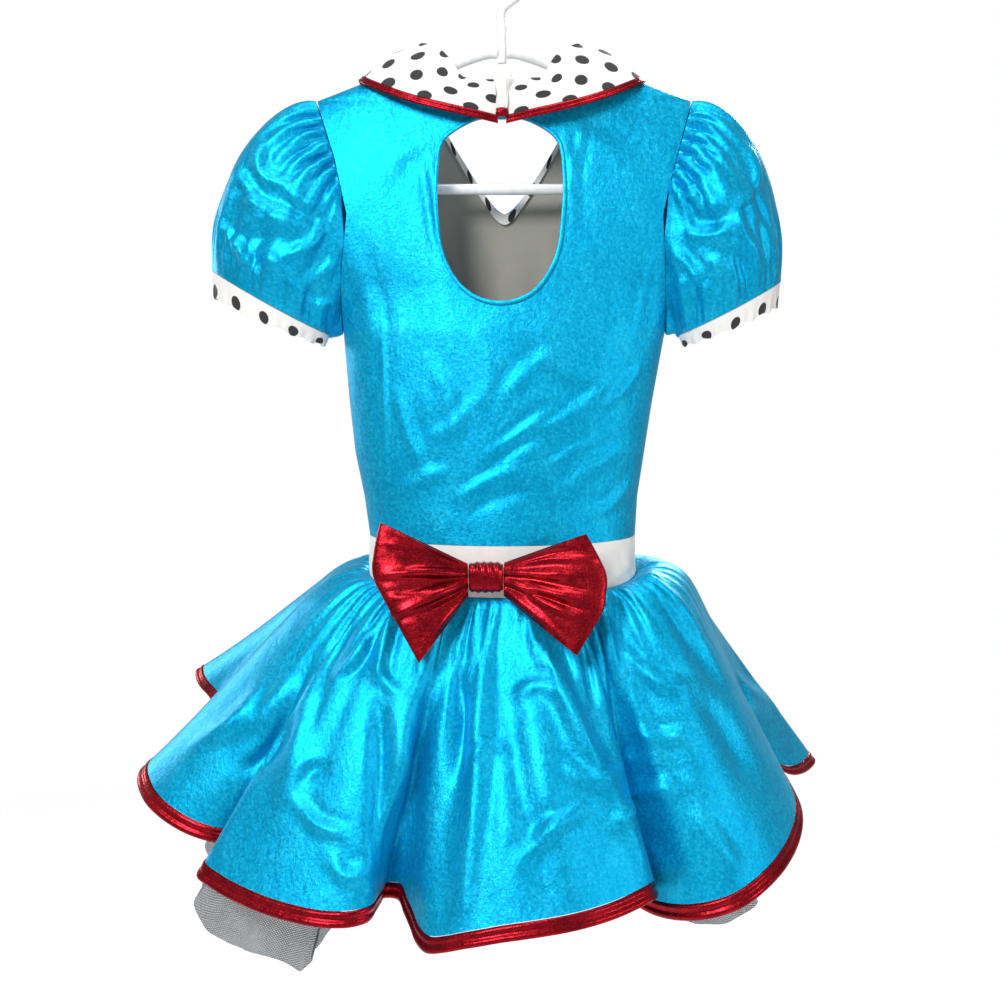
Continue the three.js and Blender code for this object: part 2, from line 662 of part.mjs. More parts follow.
function makeSkirt() {
  const back = skirtGrid(BACK_HEM, 0);
  const front = skirtGrid(FRONT_HEM, Math.PI);
  const all = [...back, ...front];
  const grid = all.map((entry) => entry.column);
  const normals = surfaceNormals(grid, true);
  const outward = normals[SKIRT_COLUMNS / 2][3].y < 0 ? 1 : -1;
  all.forEach((entry, i) => normals[i][0].copy(entry.seamNormal).multiplyScalar(outward));
  const last = SKIRT_ROWS.length - 1;
  for (const [a, b] of [[SKIRT_COLUMNS, SKIRT_COLUMNS + 1], [all.length - 1, 0]]) {
    SKIRT_ROWS.forEach((_, j) => {
      normals[a][j].add(normals[b][j]).normalize();
      normals[b][j].copy(normals[a][j]);
    });
  }
  const edgeAt = (i) => all[(i + all.length) % all.length].column[last];
  const bandGrid = all.map((entry, i) => {
    const edge = entry.column[last];
    const normal = normals[i][last];
    const down = entry.low.clone().sub(edge);
    down.addScaledVector(normal, -down.dot(normal)).normalize();
    const skew = Math.min(...[-1, 1].map((step) => {
      const along = edgeAt(i + step).clone().sub(edge);
      return along.length() < 2 ? 1 : along.normalize().cross(down).length();
    }));
    const corner = 1 - Math.min(...[-1, 1].map((step) => {
      return normals[(i + step + all.length) % all.length][last].dot(normal);
    }));
    const first = HEM_GAP / Math.max(skew, 0.25) + CORNER_GAP * corner;
    return [first, (first + HEM_BAND) / 2, HEM_BAND].map((drop) => edge.clone().addScaledVector(down, drop));
  });
  const bandNormals = all.map((_, i) => [0, 1, 2].map(() => normals[i][last].clone()));
  const proud = [1.4, 0.8, 1.4];
  const plain = [1, 1, 1];
  const split = SKIRT_COLUMNS + 1;
  const pieces = [
    { name: 'back', from: 0, to: split },
    { name: 'front', from: split, to: 2 * split },
  ];
  for (const piece of pieces) {
    const part = (list) => list.slice(piece.from, piece.to);
    addPart(`skirt_${piece.name}`, wall(part(grid), part(normals), false, VELOUR / 2), 'velour');
    const halves = outward > 0 ? [proud, plain] : [plain, proud];
    addPart(`hem_${piece.name}`, wall(part(bandGrid), part(bandNormals), false, ...halves), 'foil');
  }
}

function makePetticoat() {
  const columns = PETTICOAT_WAVES * 3;
  const points = PETTICOAT_HEM.map((row) => vec(row.x, row.y, row.z));
  const curve = new THREE.CatmullRomCurve3(points, true, 'centripetal');
  const rows = [0, 0.35, 0.7, 1];
  const grid = Array.from({ length: columns }, (_, i) => {
    const low = curve.getPointAt(i / columns);
    const angle = Math.atan2(-low.y / WAIST_HALF_DEPTH, -(low.x - WAIST_X) / WAIST_HALF_WIDTH);
    const top = waistPoint(angle, PETTICOAT_TOP, -PETTICOAT_INSIDE, WAIST_BOTTOM_DIP);
    const level = vec(low.x - WAIST_X, low.y, 0).normalize();
    const wave = Math.cos((i / columns) * PETTICOAT_WAVES * 2 * Math.PI);
    return rows.map((t) => mixPoint(top, low, t).addScaledVector(level, wave * PETTICOAT_WAVE * t));
  });
  addPart('petticoat', wall(grid, surfaceNormals(grid, true), true, NET / 2), 'net');
}

// Half of an armhole on one panel, from the shoulder tip down to the armpit, with its wall's normals
function armholeLine(grid, normals, column) {
  const line = [];
  SLEEVE_SPLITS.forEach((splits, k) => {
    const high = LAST_ROW - k;
    for (let n = 0; n < splits; n += 1) {
      const t = n / splits;
      const point = mixPoint(grid[column][high], grid[column][high - 1], t);
      const normal = mixPoint(normals[column][high], normals[column][high - 1], t).normalize();
      const gap = SEAM + 0.2 + VELOUR * Math.abs(normal.x);
      point.x += Math.sign(point.x) * gap;
      line.push({ point, normal, gather: k >= 2 && k <= 4 });
    }
  });
  return line;
}

function makeSleeve(row) {
  const column = row.side < 0 ? 0 : LAST_COLUMN;
  const back = armholeLine(backGrid, backNormals, column);
  const front = armholeLine(frontGrid, frontNormals, column);
  const half = back.length;
  const armpitPoint = mixPoint(backGrid[column][ARMPIT_ROW], frontGrid[column][ARMPIT_ROW], 0.5);
  const armpitMove = vec(row.side * (SEAM + 0.2 + VELOUR), 0, -1);
  const armpit = { point: armpitPoint.add(armpitMove), normal: vec(row.side, 0, 0), gather: false };
  const tip = back[0];
  tip.point = mixPoint(back[0].point, front[0].point, 0.5);
  tip.point.x += row.side * 0.4;
  tip.normal = vec(row.side * 0.2, 0, 1).normalize();
  const ring = [...back, armpit, ...front.slice(1).reverse()];
  const total = ring.length;
  const cuffAt = (k, { outerX, outerZ, innerX, innerZ }) => {
    const turn = (2 * Math.PI * k) / total;
    const centre = vec((outerX + innerX) / 2, 0, (outerZ + innerZ) / 2);
    const axis = vec((outerX - innerX) / 2, 0, (outerZ - innerZ) / 2);
    const swing = Math.sin(turn);
    const sideways = vec(0, -CUFF_HALF_DEPTH * swing, -CUFF_SAG * swing ** 2);
    return centre.addScaledVector(axis, Math.cos(turn)).add(sideways);
  };
  const base = ring.map((start, k) => {
    const turn = (2 * Math.PI * k) / total;
    const up = (1 + Math.cos(turn)) / 2;
    const end = cuffAt(k, row.upper);
    const swell = Math.sin(turn);
    const first = vec(row.side * (5 + 29 * up), -30 * swell * (0.3 + 0.7 * up), -2 + 10 * up);
    const second = vec(-row.side * 2 * up, -32 * swell, row.crown * up + 2);
    const path = new THREE.CubicBezierCurve3(start.point, first.add(start.point), second.add(end), end);
    return SLEEVE_RINGS.map(({ t }) => path.getPoint(t));
  });
  const baseNormals = surfaceNormals(base, true);
  const middle = base[0][3].clone().add(base[half][3]).multiplyScalar(0.5);
  const outward = Math.sign(baseNormals[0][3].dot(base[0][3].clone().sub(middle)));
  const grid = base.map((points, k) => points.map((point, j) => {
    const { cap, fold, cuff } = SLEEVE_RINGS[j];
    const turn = (2 * Math.PI * k) / total;
    const zigzag = k % 2 === 0 ? -1 : 1;
    const capWave = ring[k].gather ? cap * zigzag : 0;
    const foldWave = fold * Math.sin(5 * turn + row.side) * (0.5 + 0.5 * Math.cos(turn / 2) ** 2);
    const cuffWave = cuff * Math.cos(12 * turn);
    return point.clone().addScaledVector(baseNormals[k][j], outward * (capWave + foldWave + cuffWave));
  }));
  const normals = surfaceNormals(grid, true);
  const lower = ring.map((_, k) => cuffAt(k, row.lower));
  const lastRing = SLEEVE_RINGS.length - 1;
  const cuffGrid = grid.map((points, k) => {
    const start = points[lastRing];
    const down = lower[k].clone().sub(start).normalize();
    const first = start.clone().addScaledVector(down, SEAM + 0.3);
    return [first, lower[k]];
  });
  const cuffNormals = surfaceNormals(cuffGrid, true);
  ring.forEach((start, k) => {
    const near = start.normal.clone();
    if (near.dot(normals[k][1]) < 0) near.negate();
    normals[k][0].copy(near);
    normals[k][lastRing].copy(cuffNormals[k][0]);
  });
  addPart(`sleeve_${row.name}`, wall(grid, normals, true, VELOUR / 2), 'velour');
  addPart(`cuff_${row.name}`, wall(cuffGrid, cuffNormals, true, COTTON / 2), 'white');
}

// A point on the panels' neck edge, found by its distance from the centre line on one side
function neckPoint(grid, x, side) {
  const middle = COLUMNS.indexOf(0);
  for (let n = 0; n < middle; n += 1) {
    const near = grid[middle + side * n][LAST_ROW];
    const far = grid[middle + side * (n + 1)][LAST_ROW];
    const atNeck = COLUMNS[middle + n + 1] >= NECK_S;
    if (Math.abs(far.x) >= x || atNeck) {
      return mixPoint(near, far, Math.min((x - Math.abs(near.x)) / Math.abs(far.x - near.x), 1));
    }
  }
  return grid[middle][LAST_ROW].clone();
}

// Collar section at one row: up the stand from the neck seam, over the roll and down the fall
function collarSection(row, side) {
  const seam = neckPoint(row.seam === 'front' ? frontGrid : backGrid, row.seamX, side);
  const stand = vec(Math.abs(seam.x) - 2, seam.y, seam.z + COLLAR_RISE);
  const roll = vec(row.rollX, row.rollY, row.rollZ);
  const edge = vec(row.edgeX, row.edgeY, row.edgeZ);
  const out = vec(row.edgeX - row.seamX * 0.9, row.edgeY - seam.y, 0).normalize();
  const points = [
    stand,
    mixPoint(stand, roll, 0.55).addScaledVector(out, -0.6),
    roll.clone().addScaledVector(out, -1.6).add(vec(0, 0, -1.4)),
    roll.clone(),
    roll.clone().addScaledVector(out, 2.2).add(vec(0, 0, -1.2)),
    mixPoint(roll, edge, 0.45).addScaledVector(out, 3.4).add(vec(0, 0, 2)),
    edge.clone(),
  ];
  return points.map((point) => vec(point.x * side, point.y, point.z));
}

function makeCollar() {
  for (const [name, side] of [['left', -1], ['right', 1]]) {
    const curves = [];
    const sections = COLLAR_ROWS.map((row) => collarSection(row, side));
    for (let j = 0; j < sections[0].length; j += 1) {
      curves.push(new THREE.CatmullRomCurve3(sections.map((points) => points[j]), false, 'centripetal'));
    }
    const columns = 13;
    const grid = Array.from({ length: columns + 1 }, (_, i) => curves.map((curve) => curve.getPoint(i / columns)));
    const normals = surfaceNormals(grid, false);
    addPart(`collar_${name}`, wall(grid, normals, false, COTTON / 2), 'white');
    const last = grid[0].length - 1;
    const trim = grid.map((points) => {
      const down = points[last].clone().sub(points[last - 1]).normalize();
      const near = points[last].clone().addScaledVector(down, SEAM + 0.05);
      return [0, 0.5, 1].map((part) => near.clone().addScaledVector(down, part * COLLAR_TRIM_WIDTH));
    });
    const trimNormals = trim.map((points, i) => points.map(() => normals[i][last].clone()));
    addPart(`collar_trim_${name}`, wall(trim, trimNormals, false, [0.9, 1.6, 0.9], [0.9, 0.9, 0.9]), 'foil');
  }
}

// A short gathered column that closes the collar at the centre back
function makeCollarLoop() {
  const rows = [
    { z: -120, width: 7.4, depth: 2.0 },
    { z: -128, width: 6.0, depth: 2.6 },
    { z: -136, width: 4.8, depth: 2.8 },
    { z: -143, width: 5.2, depth: 2.6 },
    { z: -149, width: 4.0, depth: 2.2 },
  ];
  const tipRows = [
    { z: -149.6, width: 4.4, depth: 2.4 },
    { z: -153, width: 5.6, depth: 3.2 },
    { z: -157, width: 3.6, depth: 2.2 },
  ];
  addPart('collar_loop', twistedColumn(rows, 0.35), 'white');
  addPart('collar_tip', twistedColumn(tipRows, 0.5), 'foil');
}

function twistedColumn(rows, twist) {
  const sides = 10;
  const positions = [];
  rows.forEach((row, j) => {
    for (let k = 0; k < sides; k += 1) {
      const angle = (2 * Math.PI * k) / sides;
      const lobe = 1 + 0.14 * Math.cos(4 * (angle - twist * j));
      const y = COLLAR_LOOP_Y + row.depth * lobe * Math.sin(angle);
      positions.push(row.width * lobe * Math.cos(angle), y, row.z);
    }
  });
  const index = [];
  for (let j = 0; j < rows.length - 1; j += 1) {
    for (let k = 0; k < sides; k += 1) {
      const next = (k + 1) % sides;
      const a = j * sides + k;
      const b = j * sides + next;
      index.push(a, b, b + sides, a, b + sides, a + sides);
    }
  }
  const last = (rows.length - 1) * sides;
  for (let k = 1; k < sides - 1; k += 1) {
    index.push(0, k + 1, k);
    index.push(last, last + k, last + k + 1);
  }
  return orient(positions, index);
}

// A bow loop: its front layer runs out from the knot, folds over, and its back layer returns
function makeBowLoop(row) {
  const curve = new THREE.CatmullRomCurve3(row.outer.map((p) => vec(p.x, p.y, p.z)), false, 'centripetal');
  const grid = [];
  for (let q = 0; q <= BOW_FINGERS; q += 1) {
    const part = q / BOW_FINGERS;
    const end = curve.getPoint(part);
    const start = vec(row.knotX, row.knotY, mix(row.knotTop, row.knotBottom, part));
    const crease = Math.cos(part * Math.PI * 2 * 3.5);
    const edge = Math.sin(Math.PI * part);
    const section = [];
    BOW_PATH.forEach((t, k) => {
      const point = mixPoint(start, end, t);
      const pleat = BOW_CREASE * crease * Math.sin(Math.PI * Math.min(t + 0.12, 1));
      const lift = BOW_THICK[k] * (0.55 + 0.45 * edge) + pleat;
      section.push(point.clone().add(vec(0, -lift, 0)));
    });
    for (let k = BOW_PATH.length - 1; k >= 0; k -= 1) {
      const t = BOW_PATH[k];
      const point = mixPoint(start, end, t);
      if (k === BOW_PATH.length - 1) point.add(vec(row.side * 0.6, 0, 0));
      const lift = BOW_THICK[k] * 0.35 * (0.55 + 0.45 * edge);
      section.push(point.clone().add(vec(0, lift, 0)));
    }
    grid.push(section);
  }
  addPart(`bow_${row.name}`, wall(grid, surfaceNormals(grid, false), false, FOIL / 2), 'foil');
}

// The knot: a pleated band wrapped round the middle of the bow
function makeKnot() {
  const sides = 16;
  const rows = [-1, -0.6, -0.2, 0.2, 0.6, 1];
  const depth = (KNOT.back - KNOT.front) / 2;
  const centreY = (KNOT.back + KNOT.front) / 2;
  const positions = [];
  rows.forEach((u, j) => {
    const pinch = j % 2 === 0 ? 0.95 : 1;
    for (let k = 0; k < sides; k += 1) {
      const angle = (2 * Math.PI * k) / sides;
      const round = (value) => Math.sign(value) * Math.abs(value) ** 0.7;
      const y = centreY + depth * pinch * round(Math.cos(angle));
      const z = KNOT.z + KNOT.halfHeight * pinch * round(Math.sin(angle));
      positions.push(KNOT.x + u * KNOT.halfWidth, y, z);
    }
  });
  const index = [];
  for (let j = 0; j < rows.length - 1; j += 1) {
    for (let k = 0; k < sides; k += 1) {
      const a = j * sides + k;
      const b = j * sides + ((k + 1) % sides);
      index.push(a, b, b + sides, a, b + sides, a + sides);
    }
  }
  const last = (rows.length - 1) * sides;
  for (let k = 1; k < sides - 1; k += 1) {
    index.push(0, k + 1, k);
    index.push(last, last + k, last + k + 1);
  }
  addPart('bow_knot', orient(positions, index), 'foil');
}

function tube(points, radius, steps) {
  const sides = 10;
  const outline = new THREE.Shape(Array.from({ length: sides }, (_, k) => {
    const angle = (2 * Math.PI * k) / sides;
    return new THREE.Vector2(radius * Math.cos(angle), radius * Math.sin(angle));
  }));
  const path = new THREE.CatmullRomCurve3(points, false, 'centripetal');
  const geometry = new THREE.ExtrudeGeometry(outline, { steps, bevelEnabled: false, extrudePath: path });
  geometry.deleteAttribute('normal');
  geometry.deleteAttribute('uv');
  return mergeVertices(geometry, 1e-4);
}

function makeHanger() {
  const middle = (WAIST_X + 1) / 2;
  const slope = (NECK_SIDE - SHOULDER_TIP) / (169 * (1 - NECK_S));
  const drop = (VELOUR / 2 + 2.2 + TUBE) * Math.sqrt(1 + slope * slope);
  const armZ = (x) => NECK_SIDE + (NECK_S * 169 - Math.abs(x - middle)) * slope - drop;
  for (const [name, side] of [['left', -1], ['right', 1]]) {
    const points = [
      vec(side * (HOOK_TUBE + SEAM), 0, armZ(40) + 2),
      vec(side * (HOOK_TUBE + 8), 0, armZ(40) + 2),
      vec(side * 40, 0, armZ(40) - 7),
      vec(side * 68, 0, armZ(68) - 10),
      vec(side * 80, 0, armZ(80) - 7),
      vec(middle + side * 95, 0, armZ(95 + middle) - 1),
      vec(middle + side * 130, 0, armZ(130 + middle)),
      vec(middle + side * (ARM_REACH - 6), 0, armZ(ARM_REACH) - 4),
      vec(middle + side * (ARM_REACH - 6), 0, armZ(ARM_REACH) - 22),
      vec(middle + side * (BAR_HALF + 20), 0, BAR_Z + 12),
      vec(middle + side * (BAR_HALF + 8), 0, BAR_Z),
      vec(middle + side * (BAR_HALF + SEAM + 0.1), 0, BAR_Z),
    ];
    addPart(`hanger_arm_${name}`, tube(points, TUBE, 20), 'plastic');
  }
  const bar = [vec(middle - BAR_HALF, 0, BAR_Z), vec(middle + BAR_HALF, 0, BAR_Z)];
  addPart('hanger_bar', tube(bar, TUBE, 1), 'plastic');
  const centre = HOOK_RADIUS + HOOK_TUBE;
  const hook = [vec(0, 0, HANGER_FOOT), vec(0, 0, HANGER_NECK), vec(0, 0, -2 * centre - 4)];
  for (const turn of [-60, -25, 10, 45, 80, 115, 150, 180]) {
    const angle = (turn * Math.PI) / 180;
    hook.push(vec(centre * Math.cos(angle), 0, HOOK_TUBE - centre + centre * Math.sin(angle)));
  }
  addPart('hanger_hook', tube(hook, HOOK_TUBE, 28), 'plastic');
}

makeBodice();
makeKeyholeBinding();
makeFrontInside();
makeWaistband();
makeSkirt();
makePetticoat();
SLEEVES.forEach(makeSleeve);
makeCollar();
makeCollarLoop();
BOW_LOOPS.forEach(makeBowLoop);
makeKnot();
makeHanger();

export default group;
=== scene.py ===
# %% [markdown]
# # A waitress costume on its hanger
# The real thing is a short dress of shiny stretch velour with a white collar, cuffs and waistband,
# a foil bow, a bound flared skirt and a net petticoat. It hangs with its back to the viewer.
# Each piece of cloth here is a thin shell made over the frame's own solid, so it sits where the solid does.
# First the frame comes in. The finished dress has to stay close to it.

# %% Load the frame
import math

import bmesh
import bpy
import numpy as np
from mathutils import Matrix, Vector


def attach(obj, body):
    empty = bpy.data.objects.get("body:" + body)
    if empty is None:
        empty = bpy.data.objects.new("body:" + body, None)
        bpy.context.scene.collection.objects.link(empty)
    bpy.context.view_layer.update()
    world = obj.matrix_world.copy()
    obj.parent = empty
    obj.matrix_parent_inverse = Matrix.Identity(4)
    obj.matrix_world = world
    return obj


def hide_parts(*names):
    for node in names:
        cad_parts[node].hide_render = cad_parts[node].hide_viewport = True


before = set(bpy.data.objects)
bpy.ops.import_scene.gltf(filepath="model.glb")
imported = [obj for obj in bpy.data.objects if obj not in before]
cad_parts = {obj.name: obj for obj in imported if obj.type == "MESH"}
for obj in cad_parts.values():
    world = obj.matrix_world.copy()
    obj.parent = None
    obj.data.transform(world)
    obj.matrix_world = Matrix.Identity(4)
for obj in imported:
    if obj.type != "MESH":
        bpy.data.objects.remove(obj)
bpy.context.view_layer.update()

# %% [markdown]
# ## Curves and grids
# A pattern maker draws a panel as a few sections and lets the cloth run smoothly between them.
# A smooth curve that goes through every section does the same here. It could be a Blender curve, but arrays
# are quicker for whole grids and let a panel be refined across and down in one step.

# %% Smooth curves through points
def unit(vectors):
    length = np.linalg.norm(vectors, axis=-1, keepdims=True)
    return vectors / np.maximum(length, 1e-9)


def smooth_through(points, t, closed=False):
    """Places along a smooth curve through points, at parts t of its spans. Points may be rows of points."""
    points = np.asarray(points, float)
    count = len(points)
    spans = count if closed else count - 1
    place = np.clip(np.asarray(t, float), 0, 1) * spans
    first = np.minimum(np.floor(place).astype(int), spans - 1)
    part = (place - first).reshape(-1, *[1] * (points.ndim - 1))
    if closed:
        p0, p1, p2, p3 = [points[(first + step) % count] for step in (-1, 0, 1, 2)]
    else:
        longer = np.concatenate([[2 * points[0] - points[1]], points, [2 * points[-1] - points[-2]]])
        p0, p1, p2, p3 = [longer[first + step] for step in (0, 1, 2, 3)]
    g0, g1, g2 = [((b - a) ** 2).sum(-1, keepdims=True) ** 0.25 for a, b in ((p0, p1), (p1, p2), (p2, p3))]
    g1 = np.where(g1 < 1e-4, 1.0, g1)
    g0 = np.where(g0 < 1e-4, g1, g0)
    g2 = np.where(g2 < 1e-4, g1, g2)
    leave = ((p1 - p0) / g0 - (p2 - p0) / (g0 + g1) + (p2 - p1) / g1) * g1
    arrive = ((p2 - p1) / g1 - (p3 - p1) / (g1 + g2) + (p3 - p2) / g2) * g1
    bend = -3 * p1 + 3 * p2 - 2 * leave - arrive
    turn = 2 * p1 - 2 * p2 + leave + arrive
    return p1 + leave * part + bend * part**2 + turn * part**3


def even_places(points, parts, closed=False):
    """Places at equal distances along the curve, where parts run from 0 to 1."""
    t = np.linspace(0, 1, 201)
    line = smooth_through(points, t, closed)
    run = np.concatenate([[0], np.cumsum(np.linalg.norm(np.diff(line, axis=0), axis=1))])
    return smooth_through(points, np.interp(np.asarray(parts) * run[-1], run, t), closed)


def refine(grid, across, down, closed=False):
    """A finer grid [column][row] through every point of a coarse one."""
    fine = smooth_through(grid, across, closed)
    return smooth_through(fine.swapaxes(0, 1), down).swapaxes(0, 1)


def round_parts(count):
    return np.arange(count) / count


def grid_normals(grid, closed=False):
    if closed:
        across = np.roll(grid, -1, 0) - np.roll(grid, 1, 0)
    else:
        longer = np.concatenate([grid[:1], grid, grid[-1:]])
        across = longer[2:] - longer[:-2]
    taller = np.concatenate([grid[:, :1], grid, grid[:, -1:]], axis=1)
    return unit(np.cross(across, taller[:, 2:] - taller[:, :-2]))


def turned_to(normals, test):
    """The same normals, or their opposites where the test says that they point the wrong way."""
    return normals if test >= 0 else -normals


def raised(grid, normals, relief):
    return grid + normals * relief[..., None]


def mix(a, b, t):
    return a + (b - a) * t


print("curve test:", smooth_through([[0, 0, 0], [1, 1, 0], [2, 0, 0]], [0.25]).round(3))

# %% [markdown]
# ## A wall of cloth
# Cloth has two faces and an edge. The Solidify modifier makes both and the rim between them, and keeps them
# joined. Afterwards each side is put at its own distance from the middle surface, so that seams stay square
# and a hole keeps its rim. The map of the cloth is in millimetres, so dots and the weave keep their size.

# %% One helper for every piece of cloth
MM = 0.001
SHARP = math.radians(62)


def lengths(grid, axis):
    step = np.linalg.norm(np.diff(grid, axis=axis), axis=2).mean(axis=1 - axis)
    return np.concatenate([[0], np.cumsum(step)])


def new_object(name, mesh, material):
    made = bpy.data.objects.new(name, mesh)
    bpy.context.scene.collection.objects.link(made)
    mesh.materials.clear()
    mesh.materials.append(material)
    return made


def face_outwards(mesh):
    corners = np.array([v.co for v in mesh.vertices])
    mesh.calc_loop_triangles()
    tris = np.array([t.vertices for t in mesh.loop_triangles])
    a, b, c = corners[tris[:, 0]], corners[tris[:, 1]], corners[tris[:, 2]]
    if np.einsum("ij,ij->i", a, np.cross(b, c)).sum() < 0:
        mesh.flip_normals()


def finish_piece(made, node):
    made.data.polygons.foreach_set("use_smooth", [True] * len(made.data.polygons))
    made.data.set_sharp_from_angle(angle=SHARP)
    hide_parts(node)
    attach(made, "root")


def wrapped_round(grid, closed):
    return np.concatenate([grid, grid[:1]]) if closed else grid


def cloth_area(middle, closed, hole):
    """Square millimetres of the middle surface, without the faces that a hole takes away."""
    grid = wrapped_round(middle, closed)
    first = np.cross(grid[1:, :-1] - grid[:-1, :-1], grid[:-1, 1:] - grid[:-1, :-1])
    second = np.cross(grid[1:, 1:] - grid[:-1, 1:], grid[1:, 1:] - grid[1:, :-1])
    area = np.linalg.norm(first, axis=2) / 2 + np.linalg.norm(second, axis=2) / 2
    return area.sum() if hole is None else area[~hole].sum()


def grid_mesh(middle, closed, hole=None):
    """A grid of faces with the cloth's places, its map in millimetres and each corner's column and row."""
    columns, rows = middle.shape[:2]
    spans = columns if closed else columns - 1
    bm = bmesh.new()
    bmesh.ops.create_grid(bm, x_segments=spans, y_segments=rows - 1, size=0.5)
    column = bm.verts.layers.int.new("column")
    row = bm.verts.layers.int.new("row")
    cut = []
    if hole is not None:
        for face in bm.faces:
            centre = face.calc_center_median()
            if hole[int((centre.x + 0.5) * spans), int((centre.y + 0.5) * (rows - 1))]:
                cut.append(face)
    run, drop = lengths(wrapped_round(middle, closed), 0), lengths(middle, 1)
    for vert in bm.verts:
        vert[column] = round((vert.co.x + 0.5) * spans)
        vert[row] = round((vert.co.y + 0.5) * (rows - 1))
        vert.co = middle[vert[column] % columns, vert[row]] * MM
    cloth_map = bm.loops.layers.uv.new("cloth_mm")
    for face in bm.faces:
        for loop in face.loops:
            loop[cloth_map].uv = (run[loop.vert[column]], drop[loop.vert[row]])
    if cut:
        bmesh.ops.delete(bm, geom=cut, context="FACES")
    if closed:
        bmesh.ops.remove_doubles(bm, verts=bm.verts, dist=1e-7)
    return bm


def cloth_wall(node, material, middle, normals, outer, inner=None, closed=False, hole=None):
    """The piece that replaces a node: a wall round the middle surface, outer and inner mm to each side."""
    columns, rows = middle.shape[:2]
    bm = grid_mesh(middle, closed, hole)
    mesh = bpy.data.meshes.new(node)
    bm.to_mesh(mesh)
    bm.free()
    one_side = len(mesh.vertices)
    made = new_object(node + "_cloth", mesh, material)
    thick = made.modifiers.new("wall", "SOLIDIFY")
    thick.thickness = MM
    thick.offset = -1
    thick.use_rim = True
    seen = made.evaluated_get(bpy.context.evaluated_depsgraph_get())
    walled = bpy.data.meshes.new_from_object(seen)
    made.modifiers.clear()
    made.data = walled
    bpy.data.meshes.remove(mesh)
    count = len(walled.vertices)
    column, row = np.zeros(count, int), np.zeros(count, int)
    walled.attributes["column"].data.foreach_get("value", column)
    walled.attributes["row"].data.foreach_get("value", row)
    shape = (columns, rows)
    near = np.broadcast_to(np.asarray(outer, float), shape)
    far = np.broadcast_to(np.asarray(outer if inner is None else inner, float), shape)
    at = (column % columns, row)
    move = np.where(np.arange(count) < one_side, near[at], -far[at])
    walled.vertices.foreach_set("co", (raised(middle[at], normals[at], move) * MM).ravel())
    walled.update()
    face_outwards(walled)
    finish_piece(made, node)
    print(f"{node}: {len(walled.polygons)} faces, {cloth_area(middle, closed, hole) * MM * MM:.4f} m2")
    return made


# %% [markdown]
# ## Creases
# Worn velour never hangs plain: it has long soft ridges with a shallow trough on one side.
# Each crease is a short curve with a width and a height, charted on the photo, in its own pixels.
# The camera's place then turns a pixel into millimetres across and up, at the depth where that panel hangs.
# They could be sculpted, but a table can be read and changed.

# %% From a place in the photo to a place on the dress
# pixels: the photo's middle, and how far behind it its point of view lies
PHOTO_CENTRE, PHOTO_FOCAL = 500.0, 1839.0
# millimetres: how far off the camera stands, how steeply it looks down and where it looks
VIEW_FAR, VIEW_DOWN, VIEW_AIM = 1700.0, math.radians(5.0), np.array([-1.8, 0.0, -500.0])
VIEW_RIGHT = np.array([1.0, 0.0, 0.0])
VIEW_AHEAD = np.array([0, math.cos(VIEW_DOWN), -math.sin(VIEW_DOWN)])
VIEW_UP = np.array([0, math.sin(VIEW_DOWN), math.cos(VIEW_DOWN)])
VIEWER = VIEW_AIM - VIEW_FAR * VIEW_AHEAD


def seen_at(px, py, depth):
    """Millimetres across and up of what the photo shows at a pixel, at a depth behind the hook."""
    up, right = (PHOTO_CENTRE - py) / PHOTO_FOCAL, (px - PHOTO_CENTRE) / PHOTO_FOCAL
    ray = VIEW_AHEAD + VIEW_UP * up + VIEW_RIGHT * right
    place = VIEWER + ray * (depth - VIEWER[1]) / ray[1]
    return place[0], place[2]


def charted(rows, depth, rise=1.0):
    """Creases in millimetres from rows of three pixel places, a width and a height in millimetres."""
    return [(*seen_at(x1, y1, depth), *seen_at(x2, y2, depth), *seen_at(x3, y3, depth), width, high * rise)
            for x1, y1, x2, y2, x3, y3, width, high in rows]


# %% Raise creases on a surface
def crease_relief(across, height, table):
    """How far the cloth stands out at each place for a table of creases: three places, width, height."""
    total = np.zeros(across.shape)
    for x1, z1, x2, z2, x3, z3, width, rise in table:
        line = smooth_through([[x1, z1], [x2, z2], [x3, z3]], np.linspace(0, 1, 13))
        best = np.full(across.shape, 1e9)
        place = np.zeros(across.shape)
        signed = np.zeros(across.shape)
        for k, (a, b) in enumerate(zip(line[:-1], line[1:])):
            d = b - a
            span = max(float(d @ d), 1e-9)
            part = np.clip(((across - a[0]) * d[0] + (height - a[1]) * d[1]) / span, 0, 1)
            dx, dz = across - a[0] - part * d[0], height - a[1] - part * d[1]
            far = np.hypot(dx, dz)
            near = far < best
            best = np.where(near, far, best)
            place = np.where(near, (k + part) / 12, place)
            signed = np.where(near, np.sign(d[0] * dz - d[1] * dx) * far, signed)
        taper = np.sin(np.pi * np.clip(place, 0.02, 0.98)) ** 0.7
        ridge = np.exp(-((best / width) ** 2)) - 0.4 * np.exp(-((signed / width - 1.7) ** 2))
        total += rise * taper * ridge * (best < 4 * width)
    return total


def mirrored(table):
    return [(-r[0], r[1], -r[2], r[3], -r[4], r[5], r[6], r[7]) for r in table]


def edge_fade(columns, rows, side=6, top=6, bottom=6, closed=False):
    """Nought at a panel's edges and one inside, so that its seams stay where they are."""
    i, j = np.arange(columns)[:, None], np.arange(rows)[None, :]
    down = np.clip(j / max(top, 1), 0, 1) * np.clip((rows - 1 - j) / max(bottom, 1), 0, 1)
    if closed:
        return down * np.ones((columns, 1))
    return np.clip(i / side, 0, 1) * np.clip((columns - 1 - i) / side, 0, 1) * down


# %% [markdown]
# ## Velour
# Velour is a knit with a short dense nap. It is bright where it faces the light and deep where it turns away,
# and the nap lies in small patches. A satin lobe in the cloth's own colour gives the first, and soft noise at
# three sizes gives the patches, the nap and its grain. It all reads Object coordinates, so it never slides.

